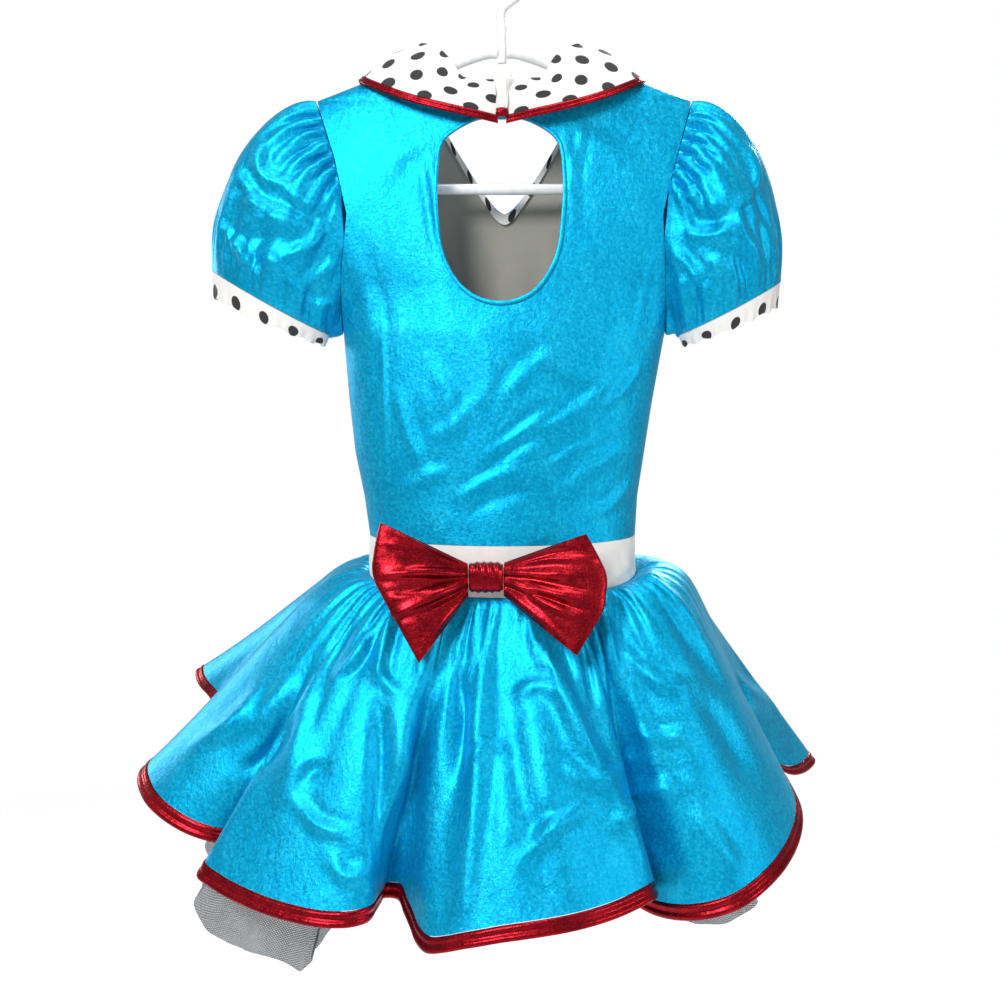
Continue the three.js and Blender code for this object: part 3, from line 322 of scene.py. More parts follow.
# %% Material helpers and velour
def new_material(name, **sockets):
    material = bpy.data.materials.new(name)
    material.use_nodes = True
    tree = material.node_tree
    surface = tree.nodes["Principled BSDF"]
    for socket, value in sockets.items():
        surface.inputs[socket.replace("_", " ")].default_value = value
    return material, tree, surface


def add_node(tree, kind, **inputs):
    made = tree.nodes.new(kind)
    for name, value in inputs.items():
        socket = made.inputs[int(name[1:])] if name[0] == "i" and name[1:].isdigit() else made.inputs[name]
        if isinstance(value, bpy.types.NodeSocket):
            tree.links.new(value, socket)
        else:
            socket.default_value = value
    return made


def place_of(tree):
    return add_node(tree, "ShaderNodeTexCoord").outputs["Object"]


def noise(tree, place, scale, detail=3.0, roughness=0.5):
    made = add_node(tree, "ShaderNodeTexNoise", Scale=scale, Detail=detail, Roughness=roughness)
    tree.links.new(place, made.inputs["Vector"])
    return made.outputs["Fac"]


def ramp(tree, value, stops):
    made = add_node(tree, "ShaderNodeValToRGB", Fac=value)
    points = made.color_ramp.elements
    while len(points) < len(stops):
        points.new(0.5)
    for point, (position, colour) in zip(points, stops):
        point.position = position
        point.color = (*colour, 1) if len(colour) == 3 else colour
    return made.outputs["Color"]


def math_node(tree, operation, a, b):
    made = add_node(tree, "ShaderNodeMath", i0=a, i1=b)
    made.operation = operation
    return made.outputs[0]


def vector_node(tree, operation, a, b=(0, 0, 0)):
    made = add_node(tree, "ShaderNodeVectorMath", i0=a, i1=b)
    made.operation = operation
    return made.outputs["Value" if operation == "LENGTH" else "Vector"]


def map_range(tree, value, span, result):
    """The value moved from one span (lowest, highest) to another, and held inside it."""
    made = add_node(tree, "ShaderNodeMapRange", Value=value)
    for socket, number in zip(("From Min", "From Max", "To Min", "To Max"), (*span, *result)):
        made.inputs[socket].default_value = number
    return made.outputs[0]


def weighted_sum(tree, a, of_a, b, of_b):
    return math_node(tree, "ADD", math_node(tree, "MULTIPLY", a, of_a), math_node(tree, "MULTIPLY", b, of_b))


def bump(tree, height, distance, strength=1.0, normal=None):
    """A bump whose distance is in metres, laid over another bump's normal where one is given."""
    made = add_node(tree, "ShaderNodeBump", Height=height, Distance=distance, Strength=strength)
    if normal is not None:
        tree.links.new(normal, made.inputs["Normal"])
    return made.outputs["Normal"]


DEEP_BLUE, AZURE, PALE_AZURE = (0.0, 0.27, 0.54), (0.0, 0.38, 0.66), (0.015, 0.52, 0.78)
NAP_LEAN = math.radians(-50)


def make_velour():
    material, tree, surface = new_material(
        "azure_velour", Metallic=0.66, Roughness=0.46, Sheen_Weight=0.1, Sheen_Roughness=0.4,
        Sheen_Tint=(0.1, 0.75, 1.0, 1), Specular_IOR_Level=0.15)
    place = place_of(tree)
    leaning = add_node(tree, "ShaderNodeMapping", Vector=place, Rotation=(0, NAP_LEAN, 0), Scale=(1, 1, 0.45))
    patches = noise(tree, leaning.outputs[0], 42.0, 6.0, 0.68)
    nap = noise(tree, place, 330.0, 4.0, 0.75)
    grain = noise(tree, place, 1500.0, 2.0, 0.6)
    tone = weighted_sum(tree, patches, 0.3, nap, 0.7)
    colour = ramp(tree, tone, [(0.36, DEEP_BLUE), (0.5, AZURE), (0.64, PALE_AZURE)])
    tree.links.new(colour, surface.inputs["Base Color"])
    tree.links.new(map_range(tree, nap, (0.3, 0.7), (0.31, 0.46)), surface.inputs["Roughness"])
    soft = bump(tree, patches, 0.0024, 0.7)
    napped = bump(tree, nap, 0.00045, 0.9, soft)
    tree.links.new(bump(tree, grain, 0.00016, 0.8, napped), surface.inputs["Normal"])
    return material


velour = make_velour()
print("velour:", len(velour.node_tree.nodes), "nodes")

# %% [markdown]
# ## White cotton and its dots
# The collar, cuffs and neck band are a plain weave with round black dots about 10 mm across, set in diamonds
# 30 mm apart. The dots are printed, so they follow the cloth: the pattern reads the map in millimetres.
# A dot is the distance to the nearest place of a repeat, so nothing has to be charted one by one.

# %% Cotton with and without dots
DOT_PITCH = 30.0
DOT_RADIUS = 5.1
DOT_BLUR = 0.25
DOT_BLACK = (0.018, 0.018, 0.02, 1)
THREAD_PITCH = 0.8


def cloth_map(tree):
    made = tree.nodes.new("ShaderNodeUVMap")
    made.uv_map = "cloth_mm"
    return made.outputs["UV"]


def weave_height(tree, place, pitch):
    """Over and under threads: two waves at right angles, pitch in the map's millimetres."""
    parts = add_node(tree, "ShaderNodeSeparateXYZ", Vector=place)
    waves = []
    for axis in ("X", "Y"):
        turn = math_node(tree, "MULTIPLY", parts.outputs[axis], 2 * math.pi / pitch)
        waves.append(math_node(tree, "SINE", turn, 0.0))
    return math_node(tree, "MULTIPLY", waves[0], waves[1])


def dot_mask(tree, place, shift, one_row):
    """One on a dot and nought between, for a diamond repeat, or for one row of it on a narrow band."""
    moved = vector_node(tree, "ADD", place, (*shift, 0))
    scaled = vector_node(tree, "MULTIPLY", moved, (1 / DOT_PITCH, 1 / DOT_PITCH, 0))
    found = []
    for half in (0.0,) if one_row else (0.0, 0.5):
        cell = vector_node(tree, "FRACTION", vector_node(tree, "ADD", scaled, (half, half, 0)))
        centred = vector_node(tree, "SUBTRACT", cell, (0.5, 0.5, 0))
        found.append(vector_node(tree, "LENGTH", centred))
    nearest = found[0] if one_row else math_node(tree, "MINIMUM", *found)
    edge = ((DOT_RADIUS - DOT_BLUR) / DOT_PITCH, (DOT_RADIUS + DOT_BLUR) / DOT_PITCH)
    return map_range(tree, nearest, edge, (1.0, 0.0))


def make_cotton(name, shift=None, base=(0.83, 0.81, 0.78), one_row=False):
    material, tree, surface = new_material(name, Roughness=0.78, Sheen_Weight=0.15, Sheen_Roughness=0.5)
    place, flat = place_of(tree), cloth_map(tree)
    cloud = noise(tree, place, 45.0, 4.0, 0.6)
    shade = [value * 0.93 for value in base]
    colour = ramp(tree, cloud, [(0.35, shade), (0.65, base)])
    if shift is not None:
        blend = tree.nodes.new("ShaderNodeMix")
        blend.data_type = "RGBA"
        tree.links.new(dot_mask(tree, flat, shift, one_row), blend.inputs[0])
        tree.links.new(colour, blend.inputs[6])
        blend.inputs[7].default_value = DOT_BLACK
        colour = blend.outputs[2]
    tree.links.new(colour, surface.inputs["Base Color"])
    weave = weave_height(tree, flat, THREAD_PITCH)
    fuzz = noise(tree, place, 900.0, 2.0, 0.5)
    rumple = bump(tree, noise(tree, place, 60.0, 3.0, 0.5), 0.0012, 0.6)
    woven = bump(tree, weave, 0.00012, 0.6, rumple)
    tree.links.new(bump(tree, fuzz, 0.00008, 0.4, woven), surface.inputs["Normal"])
    return material


plain_cotton = make_cotton("white_cotton")
band_cotton = make_cotton("dotted_cotton_band", (4.0, 10.5), one_row=True)
lining_cloth = make_cotton("grey_beige_lining", base=(0.40, 0.385, 0.33))
print("cotton:", [m.name for m in (plain_cotton, band_cotton, lining_cloth)])

# %% [markdown]
# ## Red foil cloth
# The bow and bindings are a knit with a metal foil on it: hard bright glints, deep wine shadows and a fine
# sparkle from thousands of tiny facets. A metallic surface gives the glints. Small cells that each tilt their
# own way give the sparkle, which a plain noise would blur; each cell also lightens or darkens the red a
# little, which is painted sparkle.

# %% Foil
WINE, CRIMSON, SCARLET = (0.15, 0.002, 0.007), (0.29, 0.005, 0.012), (0.46, 0.012, 0.022)


def make_foil():
    material, tree, surface = new_material("red_foil", Metallic=0.92, Roughness=0.3, Specular_IOR_Level=0.5)
    place = place_of(tree)
    cells = add_node(tree, "ShaderNodeTexVoronoi", Vector=place, Scale=1100.0)
    tilt = add_node(tree, "ShaderNodeSeparateXYZ", Vector=cells.outputs["Color"])
    wear = noise(tree, place, 38.0, 4.0, 0.55)
    # the colour mixes the patchy noise with each cell's own lighter or darker share, and that share is
    # painted sparkle
    tone = weighted_sum(tree, wear, 0.82, tilt.outputs[0], 0.18)
    colour = ramp(tree, tone, [(0.3, WINE), (0.5, CRIMSON), (0.75, SCARLET)])
    tree.links.new(colour, surface.inputs["Base Color"])
    tree.links.new(map_range(tree, tilt.outputs[1], (0.0, 1.0), (0.2, 0.4)), surface.inputs["Roughness"])
    creased = bump(tree, noise(tree, place, 90.0, 3.0, 0.5), 0.0014, 0.6)
    tree.links.new(bump(tree, tilt.outputs[2], 0.00010, 0.5, creased), surface.inputs["Normal"])
    return material


foil = make_foil()
print("foil:", len(foil.node_tree.nodes), "nodes")

# %% [markdown]
# ## Net and plastic
# The petticoat is grey net with holes under 2 mm wide, too many to cut. Thin and thick places along
# two crossing waves let the light through in the same even mesh. The hanger is smooth moulded plastic.

# %% Net and hanger plastic
NET_PITCH = 1.9


def make_net():
    material, tree, surface = new_material("grey_net", Roughness=0.6, Sheen_Weight=0.3)
    place, flat = place_of(tree), cloth_map(tree)
    cloud = noise(tree, place, 30.0, 3.0)
    colour = ramp(tree, cloud, [(0.35, (0.07, 0.08, 0.09)), (0.65, (0.19, 0.21, 0.225))])
    tree.links.new(colour, surface.inputs["Base Color"])
    mesh = weave_height(tree, flat, NET_PITCH)
    tree.links.new(map_range(tree, mesh, (-0.6, 0.6), (0.35, 0.8)), surface.inputs["Alpha"])
    tree.links.new(bump(tree, mesh, 0.0003, 0.8), surface.inputs["Normal"])
    return material


def make_plastic():
    material, tree, surface = new_material(
        "white_plastic", Roughness=0.3, Coat_Weight=0.3, Coat_Roughness=0.1)
    place = place_of(tree)
    scuffs = noise(tree, place, 90.0, 6.0, 0.7)
    colour = ramp(tree, scuffs, [(0.3, (0.72, 0.72, 0.72)), (0.6, (0.84, 0.84, 0.84))])
    tree.links.new(colour, surface.inputs["Base Color"])
    tree.links.new(bump(tree, scuffs, 0.0002, 0.3), surface.inputs["Normal"])
    return material


net, plastic = make_net(), make_plastic()
print("net and plastic made")

# %% [markdown]
# ## Bodice
# Front and back panels meet at the shoulders and sides. Each is a shell over a rounded body shape, with a
# lower neck in front and armholes at the sides. The keyhole is a smooth outline: the faces inside it are
# deleted and the rim is moved onto it, which leaves a cleaner edge than a boolean.

# %% Body shape of the bodice
VELOUR_HALF, COTTON_WALL, SEAM = 1.0, 1.4, 0.3
SHOULDER_TIP, NECK_SIDE, ARMPIT = -138.0, -105.0, -346.0
BACK_NECK, BACK_CURVE, FRONT_NECK, FRONT_CURVE = -148.0, 0.8, -236.0, 1.45
NECK_S, WAIST_DIP = 0.5, 0.08
SHOULDER_SLOPE = (NECK_SIDE - SHOULDER_TIP) / (1 - NECK_S)
# the armhole's half depth, and how far above the armpit the side is fully open
ARMHOLE_DEEP, ARMHOLE_OPENS = 34.0, 42.0
# how the cloth rounds over the shoulder seam: first curve's size and reach, then the slope's size and power
ROOF_ROUND, ROOF_REACH, ROOF_SLOPE, ROOF_POWER = 5.2, 2.5, 1.465, 0.7
# height, left edge, right edge, half depth
BODICE_ROWS = np.array([
    (-531, -121, 122, 62), (-495, -126, 124, 60), (-455, -134, 130, 60), (-408, -139, 137, 60),
    (-346, -144, 148, 57), (-300, -145, 147, 52), (-240, -139, 144, 46), (-190, -150, 156, 42),
    (-138, -167, 171, 40), (-60, -167, 171, 40)], float)
EDGE_ROWS = np.array([-531, -485, -438, -392, -346, -304, -262, -220, -185, -158, -146, -141.5, -138])
EDGE_PARTS = (EDGE_ROWS - EDGE_ROWS[0]) / (EDGE_ROWS[-1] - EDGE_ROWS[0])
HALF_COLUMNS = np.array([0, 0.16, 0.32, 0.43, 0.485, 0.5, 0.62, 0.76, 0.88, 0.965, 1])
COLUMNS = np.concatenate([-HALF_COLUMNS[:0:-1], HALF_COLUMNS])
MIDDLE = len(HALF_COLUMNS) - 1
TOP_ROW = len(EDGE_ROWS) - 1


def body_width(z, column):
    return np.interp(z, BODICE_ROWS[:, 0], BODICE_ROWS[:, column])


def ridge_height(s):
    return NECK_SIDE + (NECK_S - np.abs(s)) * SHOULDER_SLOPE


def top_height(s, back):
    ratio = np.minimum(np.abs(s) / NECK_S, 1)
    if back:
        curve = BACK_NECK + (NECK_SIDE - BACK_NECK) * (1 - (1 - ratio**2) ** BACK_CURVE)
    else:
        curve = FRONT_NECK + (NECK_SIDE - FRONT_NECK) * ratio**FRONT_CURVE
    return np.where(ratio > 0.999, ridge_height(s), curve)


def bodice_place(s, z, side):
    """A place on the body: s runs from -1 to 1 across it, and side is -1 behind and 1 in front."""
    s, z = np.broadcast_arrays(np.asarray(s, float), np.asarray(z, float))
    left, right = body_width(z, 1), body_width(z, 2)
    up = np.clip((z - ARMPIT) / (SHOULDER_TIP - ARMPIT), 0, 1)
    edge = ARMHOLE_DEEP * np.sin(np.pi * up) ** 0.75
    open_part = np.clip((z - ARMPIT) / ARMHOLE_OPENS, 0, 1)
    full = edge + (body_width(z, 3) - edge) * np.maximum(1 - s * s, 0) ** mix(0.5, 1, open_part)
    drop = np.maximum(ridge_height(s) - z, 0)
    roof = ROOF_ROUND * (1 - np.exp(-drop / ROOF_REACH)) + ROOF_SLOPE * drop**ROOF_POWER
    both = (full > 1e-6) & (roof > 1e-6)
    safe = np.where(both, full, 1.0) ** -4 + np.where(both, roof, 1.0) ** -4
    depth = np.where(both, safe**-0.25, 0)
    return np.stack([(left + right) / 2 + s * (right - left) / 2, side * (SEAM / 2 + depth), z], axis=-1)


def bodice_grid(back, s, v):
    bottom = EDGE_ROWS[0]
    s, v = np.asarray(s)[:, None], np.asarray(v)[None, :]
    grid = bodice_place(s, mix(bottom, top_height(s, back), v), -1 if back else 1)
    grid[..., 2] += WAIST_DIP * grid[..., 1] * np.maximum(1 - v * 4, 0)
    return grid


def bodice_normals(grid, s, v):
    """Outward normals, level across the shoulder and side seams so that the panels meet square."""
    normals = grid_normals(grid)
    column, row = len(s) // 2, len(v) // 3
    normals = turned_to(normals, normals[column, row, 1] * grid[column, row, 1])
    shoulder = np.abs(s) >= NECK_S - 1e-6
    normals[shoulder, -1, 1] = 0
    sides = grid[0, :, 2] <= ARMPIT + 0.5
    for i in (0, -1):
        normals[i, sides, 1] = 0
    return unit(normals)


def coarse_bodice(back):
    """A panel's section places and their normals, on which the lining, collar and sleeves are built."""
    grid = bodice_grid(back, COLUMNS, EDGE_PARTS)
    return grid, bodice_normals(grid, COLUMNS, EDGE_PARTS)


def fine_bodice(back, columns, low_rows, top_rows):
    """A panel's fine grid: columns closer together at the sides, and rows closer at the top edge."""
    s = np.sin(np.linspace(-1, 1, columns) * np.pi / 2)
    low = np.linspace(0, 0.93, low_rows, endpoint=False)
    v = np.concatenate([low, 1 - 0.07 * np.linspace(1, 0, top_rows) ** 1.7])
    grid = bodice_grid(back, s, v)
    return grid, bodice_normals(grid, s, v), edge_fade(*grid.shape[:2], side=8, top=10, bottom=8)


def facing_viewer(normals):
    return normals * np.where(normals[..., 1:2] > 0, -1, 1)


print("bodice sections:", len(COLUMNS), "by", len(EDGE_PARTS))

# %% [markdown]
# The creases on the back start at the keyhole, where the weight of the dress pulls on its edge, and in the
# lower half, where the waistband takes it up.

# %% Back panel with its keyhole
# how deep the creased cloth lies behind the hook, in millimetres
BACK_DEPTH, SLEEVE_DEPTH, SKIRT_DEPTH, BOW_DEPTH = -58, -35, -120, -95
# three places in the photo (x, y), width and height in millimetres
BACK_CREASES = charted([
    (428, 150, 436, 190, 440, 240, 5, 1.6), (420, 160, 428, 215, 436, 262, 4, -1.0),
    (566, 130, 572, 170, 574, 215, 5, 1.2), (585, 120, 579, 150, 572, 185, 4, 1.0),
    (398, 395, 410, 440, 428, 478, 6, 1.4), (430, 360, 450, 400, 455, 455, 7, 1.2),
    (485, 470, 520, 445, 548, 430, 5, -1.6), (525, 440, 570, 415, 618, 380, 6, 1.5),
    (500, 400, 530, 370, 555, 352, 7, 1.1), (395, 500, 420, 480, 450, 470, 6, 1.2),
    (560, 500, 590, 470, 625, 450, 7, 1.4), (470, 515, 500, 495, 530, 490, 7, -1.2),
    (380, 300, 383, 380, 385, 480, 2.5, 0.7), (610, 330, 600, 380, 590, 430, 8, 1.0),
    (350, 250, 365, 300, 372, 350, 8, 1.2), (650, 250, 640, 300, 632, 350, 8, 1.2),
    (520, 330, 550, 380, 600, 400, 8, -1.0), (440, 130, 400, 150, 370, 190, 9, 1.0),
    (560, 125, 600, 140, 640, 170, 9, 1.0), (500, 450, 530, 425, 560, 405, 4, 1.2),
    (545, 470, 575, 450, 600, 440, 4, 1.1), (600, 410, 625, 390, 645, 365, 5, 1.2),
    (430, 440, 455, 425, 480, 395, 6, 0.9), (470, 330, 490, 370, 480, 410, 8, 0.8),
    (455, 500, 490, 478, 515, 470, 4, 1.2), (590, 520, 615, 505, 636, 480, 5, 1.2)],
    BACK_DEPTH, rise=1.5)
# places round the keyhole: across and up, in millimetres
KEYHOLE = [
    (0, -157), (18, -157), (41, -168), (50, -178), (54, -205), (53, -238), (46, -280), (26, -309),
    (-3, -318), (-31, -308), (-50, -280), (-57, -238), (-57, -205), (-53, -178), (-43, -168), (-20, -157)]
KEYHOLE_CENTRE = np.array([-2.0, 0.0, -236.0])


def keyhole_outline(grow, count):
    points = even_places([(x, 0, z) for x, z in KEYHOLE], round_parts(count), closed=True)
    return points + unit(points - KEYHOLE_CENTRE) * np.asarray(grow).reshape(-1, 1)


def inside_outline(x, z, outline):
    """Even-odd test of many places against one closed outline."""
    hit = np.zeros(x.shape, bool)
    for (x1, z1), (x2, z2) in zip(outline, np.roll(outline, -1, 0)):
        if z1 == z2:
            continue
        crosses = (z1 > z) != (z2 > z)
        hit ^= crosses & (x < (x2 - x1) * (z - z1) / (z2 - z1) + x1)
    return hit


def back_panel():
    grid, normals, fade = fine_bodice(True, columns=181, low_rows=112, top_rows=22)
    grid = raised(grid, normals, crease_relief(grid[..., 0], grid[..., 2], BACK_CREASES) * fade)
    outline = keyhole_outline(0, 240)[:, [0, 2]]
    centres = (grid[1:, 1:] + grid[:-1, 1:] + grid[1:, :-1] + grid[:-1, :-1]) / 4
    hole = inside_outline(centres[..., 0], centres[..., 2], outline)
    # a corner with cut and whole faces round it lies on the rim
    touched = np.zeros(grid.shape[:2], int)
    for di in (0, 1):
        for dj in (0, 1):
            touched[di:di + hole.shape[0], dj:dj + hole.shape[1]] += hole
    rim = (touched > 0) & (touched < 4)
    for i, j in zip(*np.nonzero(rim)):
        far = np.hypot(outline[:, 0] - grid[i, j, 0], outline[:, 1] - grid[i, j, 2])
        grid[i, j, [0, 2]] = outline[far.argmin()]
    return cloth_wall("bodice_back", velour, grid, normals, VELOUR_HALF, hole=hole)


back_panel()

# %% [markdown]
# The thin edge round the keyhole is a narrow strip of the same velour, turned over the cut.

# %% Keyhole binding
# how far the strip's outer and inner edges lie outside the keyhole's outline, and its lift off the panel
STRIP_OUTER, STRIP_INNER, STRIP_LIFT = 3.4, 0.4, 1.6


def keyhole_binding():
    parts = np.linspace(0, 1, 7)
    left, right = [body_width(KEYHOLE_CENTRE[2], column) for column in (1, 2)]
    rings = []
    for part in parts:
        ring = keyhole_outline(mix(STRIP_OUTER, STRIP_INNER, part), 220)
        s = (ring[:, 0] - (left + right) / 2) / ((right - left) / 2)
        lie = bodice_place(s, ring[:, 2], -1)
        rings.append(np.stack([ring[:, 0], lie[:, 1] - VELOUR_HALF - SEAM - STRIP_LIFT, ring[:, 2]], axis=-1))
    grid = np.stack(rings, axis=1)
    proud = 0.55 + 0.35 * np.sin(np.pi * parts)[None, :]
    normals = facing_viewer(grid_normals(grid, True))
    return cloth_wall("keyhole_binding", velour, grid, normals, proud, 0.7, closed=True)


keyhole_binding()

# %% [markdown]
# The front is seen only from the sides and the front, and through the keyhole. The creases on it are the
# back's own, mirrored and softer, because the same weight pulls on it.

# %% Front panel
# how much lower and wider than the back's they are, and the deepest trough, in millimetres
LOWER, WIDER, FRONT_TROUGH = 40, 1.5, -0.6
FRONT_CREASES = [(x1, z1 - LOWER, x2, z2 - LOWER, x3, z3 - LOWER, width + WIDER, high)
                 for x1, z1, x2, z2, x3, z3, width, high in mirrored(BACK_CREASES)[4:18]]


def front_panel():
    grid, normals, fade = fine_bodice(False, columns=121, low_rows=84, top_rows=18)
    relief = np.maximum(crease_relief(grid[..., 0], grid[..., 2], FRONT_CREASES), FRONT_TROUGH) * fade
    return cloth_wall("bodice_front", velour, raised(grid, normals, relief), normals, VELOUR_HALF)


front_panel()

# %% [markdown]
# ## Lining and neck band of the front
# Through the keyhole shows the pale lining inside the front, and along the neck a white band with dots.
# Both lie on the front panel's own points, moved inwards, so they follow it.

# %% Lining and neck band
NECK_BAND = 9.0
LINING_MOVE = VELOUR_HALF + 2 * SEAM + COTTON_WALL / 2
BAND_MOVE = VELOUR_HALF + 9 * SEAM + COTTON_WALL * 1.5
# columns on each side of the middle: across the lining, and across the neck
LINING_REACH, NECK_REACH = 7, 4
LINING_SIDE_TOP = 8
# three places across and up, width and height, all in millimetres
LINING_CREASES = [
    (-52, -250, -46, -300, -44, -420, 7, 1.6), (16, -255, 22, -310, 30, -440, 8, 1.4),
    (-10, -260, -8, -330, -4, -430, 10, -1.4), (44, -240, 48, -300, 52, -400, 7, 1.2)]
front_grid, front_normals = coarse_bodice(False)


def front_inside(column, row, move):
    """A place inside the front panel, on one of its columns, at part of the way between two rows."""
    low = min(int(row), TOP_ROW - 1)
    place = mix(front_grid[column, low], front_grid[column, low + 1], row - low)
    normal = unit(mix(front_normals[column, low], front_normals[column, low + 1], row - low))
    return place - normal * move * np.sign(normal[1] if abs(normal[1]) > 1e-9 else 1)


def make_lining():
    sheet = []
    for i in range(MIDDLE - LINING_REACH, MIDDLE + LINING_REACH + 1):
        top = LINING_SIDE_TOP if abs(i - MIDDLE) > NECK_REACH else TOP_ROW
        sheet.append([front_inside(i, mix(1, top, v), LINING_MOVE) for v in np.linspace(0, 1, 9)])
    fine = refine(np.array(sheet), np.linspace(0, 1, 85), np.linspace(0, 1, 73))
    inward = facing_viewer(grid_normals(fine))
    relief = np.maximum(crease_relief(fine[..., 0], fine[..., 2], LINING_CREASES), 0) * edge_fade(85, 73)
    cloth_wall("front_lining", lining_cloth, raised(fine, inward, relief), inward, COTTON_WALL / 2)


def make_neck_band():
    band = []
    for i in range(MIDDLE - NECK_REACH, MIDDLE + NECK_REACH + 1):
        drop = np.abs(front_grid[i, :, 2] - front_grid[i, TOP_ROW, 2])
        lower = np.interp(NECK_BAND, drop[::-1], np.arange(TOP_ROW, -1, -1))
        band.append([front_inside(i, row, BAND_MOVE) for row in np.linspace(lower, TOP_ROW, 4)])
    fine = refine(np.array(band), np.linspace(0, 1, 121), np.linspace(0, 1, 9))
    inward = facing_viewer(grid_normals(fine))
    cloth_wall("front_neck_binding", band_cotton, fine, inward, COTTON_WALL / 2)


make_lining()
make_neck_band()

# %% [markdown]
# ## Collar
# The collar stands up from the neck seam, rolls over and falls on the shoulders. Each half is a strip of
# sections, so its roll is a true curve. Its edge is bound in folded red foil, which leaves two ridges along
# the binding.

# %% Collar and its bindings
# seam (B back, T tip, F front), place on the seam, roll line x y z, outer edge x y z
COLLAR_ROWS = [
    ("B", 6, 7, -44, -124, 4, -50, -155), ("B", 21, 21, -43, -123, 24, -50, -150),
    ("B", 38, 35, -41, -121, 50, -48, -144), ("B", 54, 45, -36, -106, 76, -42, -137),
    ("B", 68, 58, -25, -93, 100, -31, -128), ("B", 78, 71, -11, -88, 119, -15, -119),
    ("T", 83, 79, 1, -87, 124, 1, -115), ("F", 80, 80, 14, -93, 121, 17, -120),
    ("F", 75, 78, 28, -108, 114, 38, -138), ("F", 70, 72, 41, -126, 104, 52, -162),
    ("F", 61, 63, 51, -146, 92, 60, -188), ("F", 52, 54, 57, -162, 70, 64, -214)]
DOTS_LEFT, DOTS_RIGHT = (-3.0, 6.0), (5.0, 2.0)
TRIM_WIDTH = 7.0
TRIM_RIDGES = [0.8, 1.5, 1.75, 1.5, 1.0, 1.4, 1.75, 1.5, 0.8]


def neck_place(grid, x, side):
    for n in range(MIDDLE):
        near, far = grid[MIDDLE + side * n, -1], grid[MIDDLE + side * (n + 1), -1]
        if abs(far[0]) >= x or COLUMNS[MIDDLE + n + 1] >= NECK_S:
            return mix(near, far, min((x - abs(near[0])) / abs(far[0] - near[0]), 1))
    return grid[MIDDLE, -1]


def collar_section(row, side, grids):
    seam_of, seam_x, roll, edge = row[0], row[1], np.array(row[2:5], float), np.array(row[5:8], float)
    seam = neck_place(grids[seam_of == "F"], seam_x, side)
    stand = np.array([abs(seam[0]) - 2, seam[1], seam[2] + 1.1])
    out = unit(np.array([edge[0] - seam_x * 0.9, edge[1] - seam[1], 0]))
    up = np.array([0, 0, 1.0])
    points = np.array([
        stand, mix(stand, roll, 0.55) - out * 0.6, roll - out * 1.6 - up * 1.4, roll,
        roll + out * 2.2 - up * 1.2, mix(roll, edge, 0.45) + out * 3.4 + up * 2, edge])
    return points * (side, 1, 1)


def foil_strip(node, places, normals, ridges, inner):
    """A folded binding: one normal for each column, and its height across it as a row of ridges."""
    wide = np.repeat(normals[:, None, :], len(ridges), axis=1)
    cloth_wall(node, foil, places, wide, np.array(ridges)[None, :], inner)


def make_collar(name, side, shift):
    grids = [coarse_bodice(back)[0] for back in (True, False)]
    sections = np.array([collar_section(row, side, grids) for row in COLLAR_ROWS])
    columns, rows = 100, 43
    grid = refine(sections, np.linspace(0, 1, columns), np.linspace(0, 1, rows))
    normals = grid_normals(grid)
    normals = turned_to(normals, normals[columns // 2, -2] @ np.array([side, 0, 0.5]))
    cotton = make_cotton("dotted_cotton_collar_" + name, shift)
    ripple = 0.5 * np.sin(grid[..., 0] * 0.23 + grid[..., 1] * 0.11) * edge_fade(columns, rows, 8, 12, 10)
    rippled = raised(grid, normals, ripple)
    cloth_wall("collar_" + name, cotton, rippled, normals, COTTON_WALL / 2)
    edge, down = sections[:, -1], unit(sections[:, -1] - sections[:, -2])
    drops = [SEAM + 0.05 + TRIM_WIDTH * part for part in (0, 0.5, 1)]
    coarse = np.stack([edge + down * drop for drop in drops], axis=1)
    ends = smooth_through(normals[:, -1], np.linspace(0, 1, len(sections)))
    across = np.linspace(0, 1, 120)
    strip = refine(coarse, across, np.linspace(0, 1, len(TRIM_RIDGES)))
    foil_strip("collar_trim_" + name, strip, unit(smooth_through(ends, across)), TRIM_RIDGES, 0.9)


make_collar("left", -1, DOTS_LEFT)
make_collar("right", 1, DOTS_RIGHT)

# %% [markdown]
# Between the halves, at the centre back, a white loop is gathered into a short twist with a red tip.
# A ring of corners swept up and turned a little at each step gives the twist, and its ends are filled.

# %% Collar loop and its tip
def ringed_solid(node, material, rings):
    """A closed tube of rings with its two ends filled."""
    bm = grid_mesh(np.asarray(rings).swapaxes(0, 1), True)
    open_edges = [edge for edge in bm.edges if edge.is_boundary]
    bmesh.ops.holes_fill(bm, edges=open_edges, sides=0)
    mesh = bpy.data.meshes.new(node)
    bm.to_mesh(mesh)
    bm.free()
    face_outwards(mesh)
    made = new_object(node + "_cloth", mesh, material)
    finish_piece(made, node)
    print(node, len(mesh.polygons), "faces")
    return made


# height, half width, half depth
LOOP_ROWS = [(-120, 7.4, 2.0), (-128, 6.0, 2.6), (-136, 4.8, 2.8), (-143, 5.2, 2.6), (-149, 4.0, 2.2)]
TIP_ROWS = [(-149.6, 4.4, 2.4), (-153, 5.6, 3.2), (-157, 3.6, 2.2)]
LOOP_Y, LOOP_LOBES, LOBE_HEIGHT = -53.4, 4, 0.14


def twisted(rows, twist, steps, count=60):
    """Rings through rows of height, half width and half depth, each turned a little on the one before."""
    angle = 2 * np.pi * round_parts(count)
    rings = []
    for j, (z, width, depth) in enumerate(smooth_through(rows, np.linspace(0, 1, steps))):
        turn = twist * j / (steps - 1)
        lobe = 1 + LOBE_HEIGHT * np.cos(LOOP_LOBES * (angle - turn))
        y = LOOP_Y + depth * lobe * np.sin(angle)
        rings.append(np.stack([width * lobe * np.cos(angle), y, np.full(count, z)], axis=-1))
    return rings


ringed_solid("collar_loop", plain_cotton, twisted(LOOP_ROWS, twist=1.4, steps=26))
ringed_solid("collar_tip", foil, twisted(TIP_ROWS, twist=2.0, steps=14))

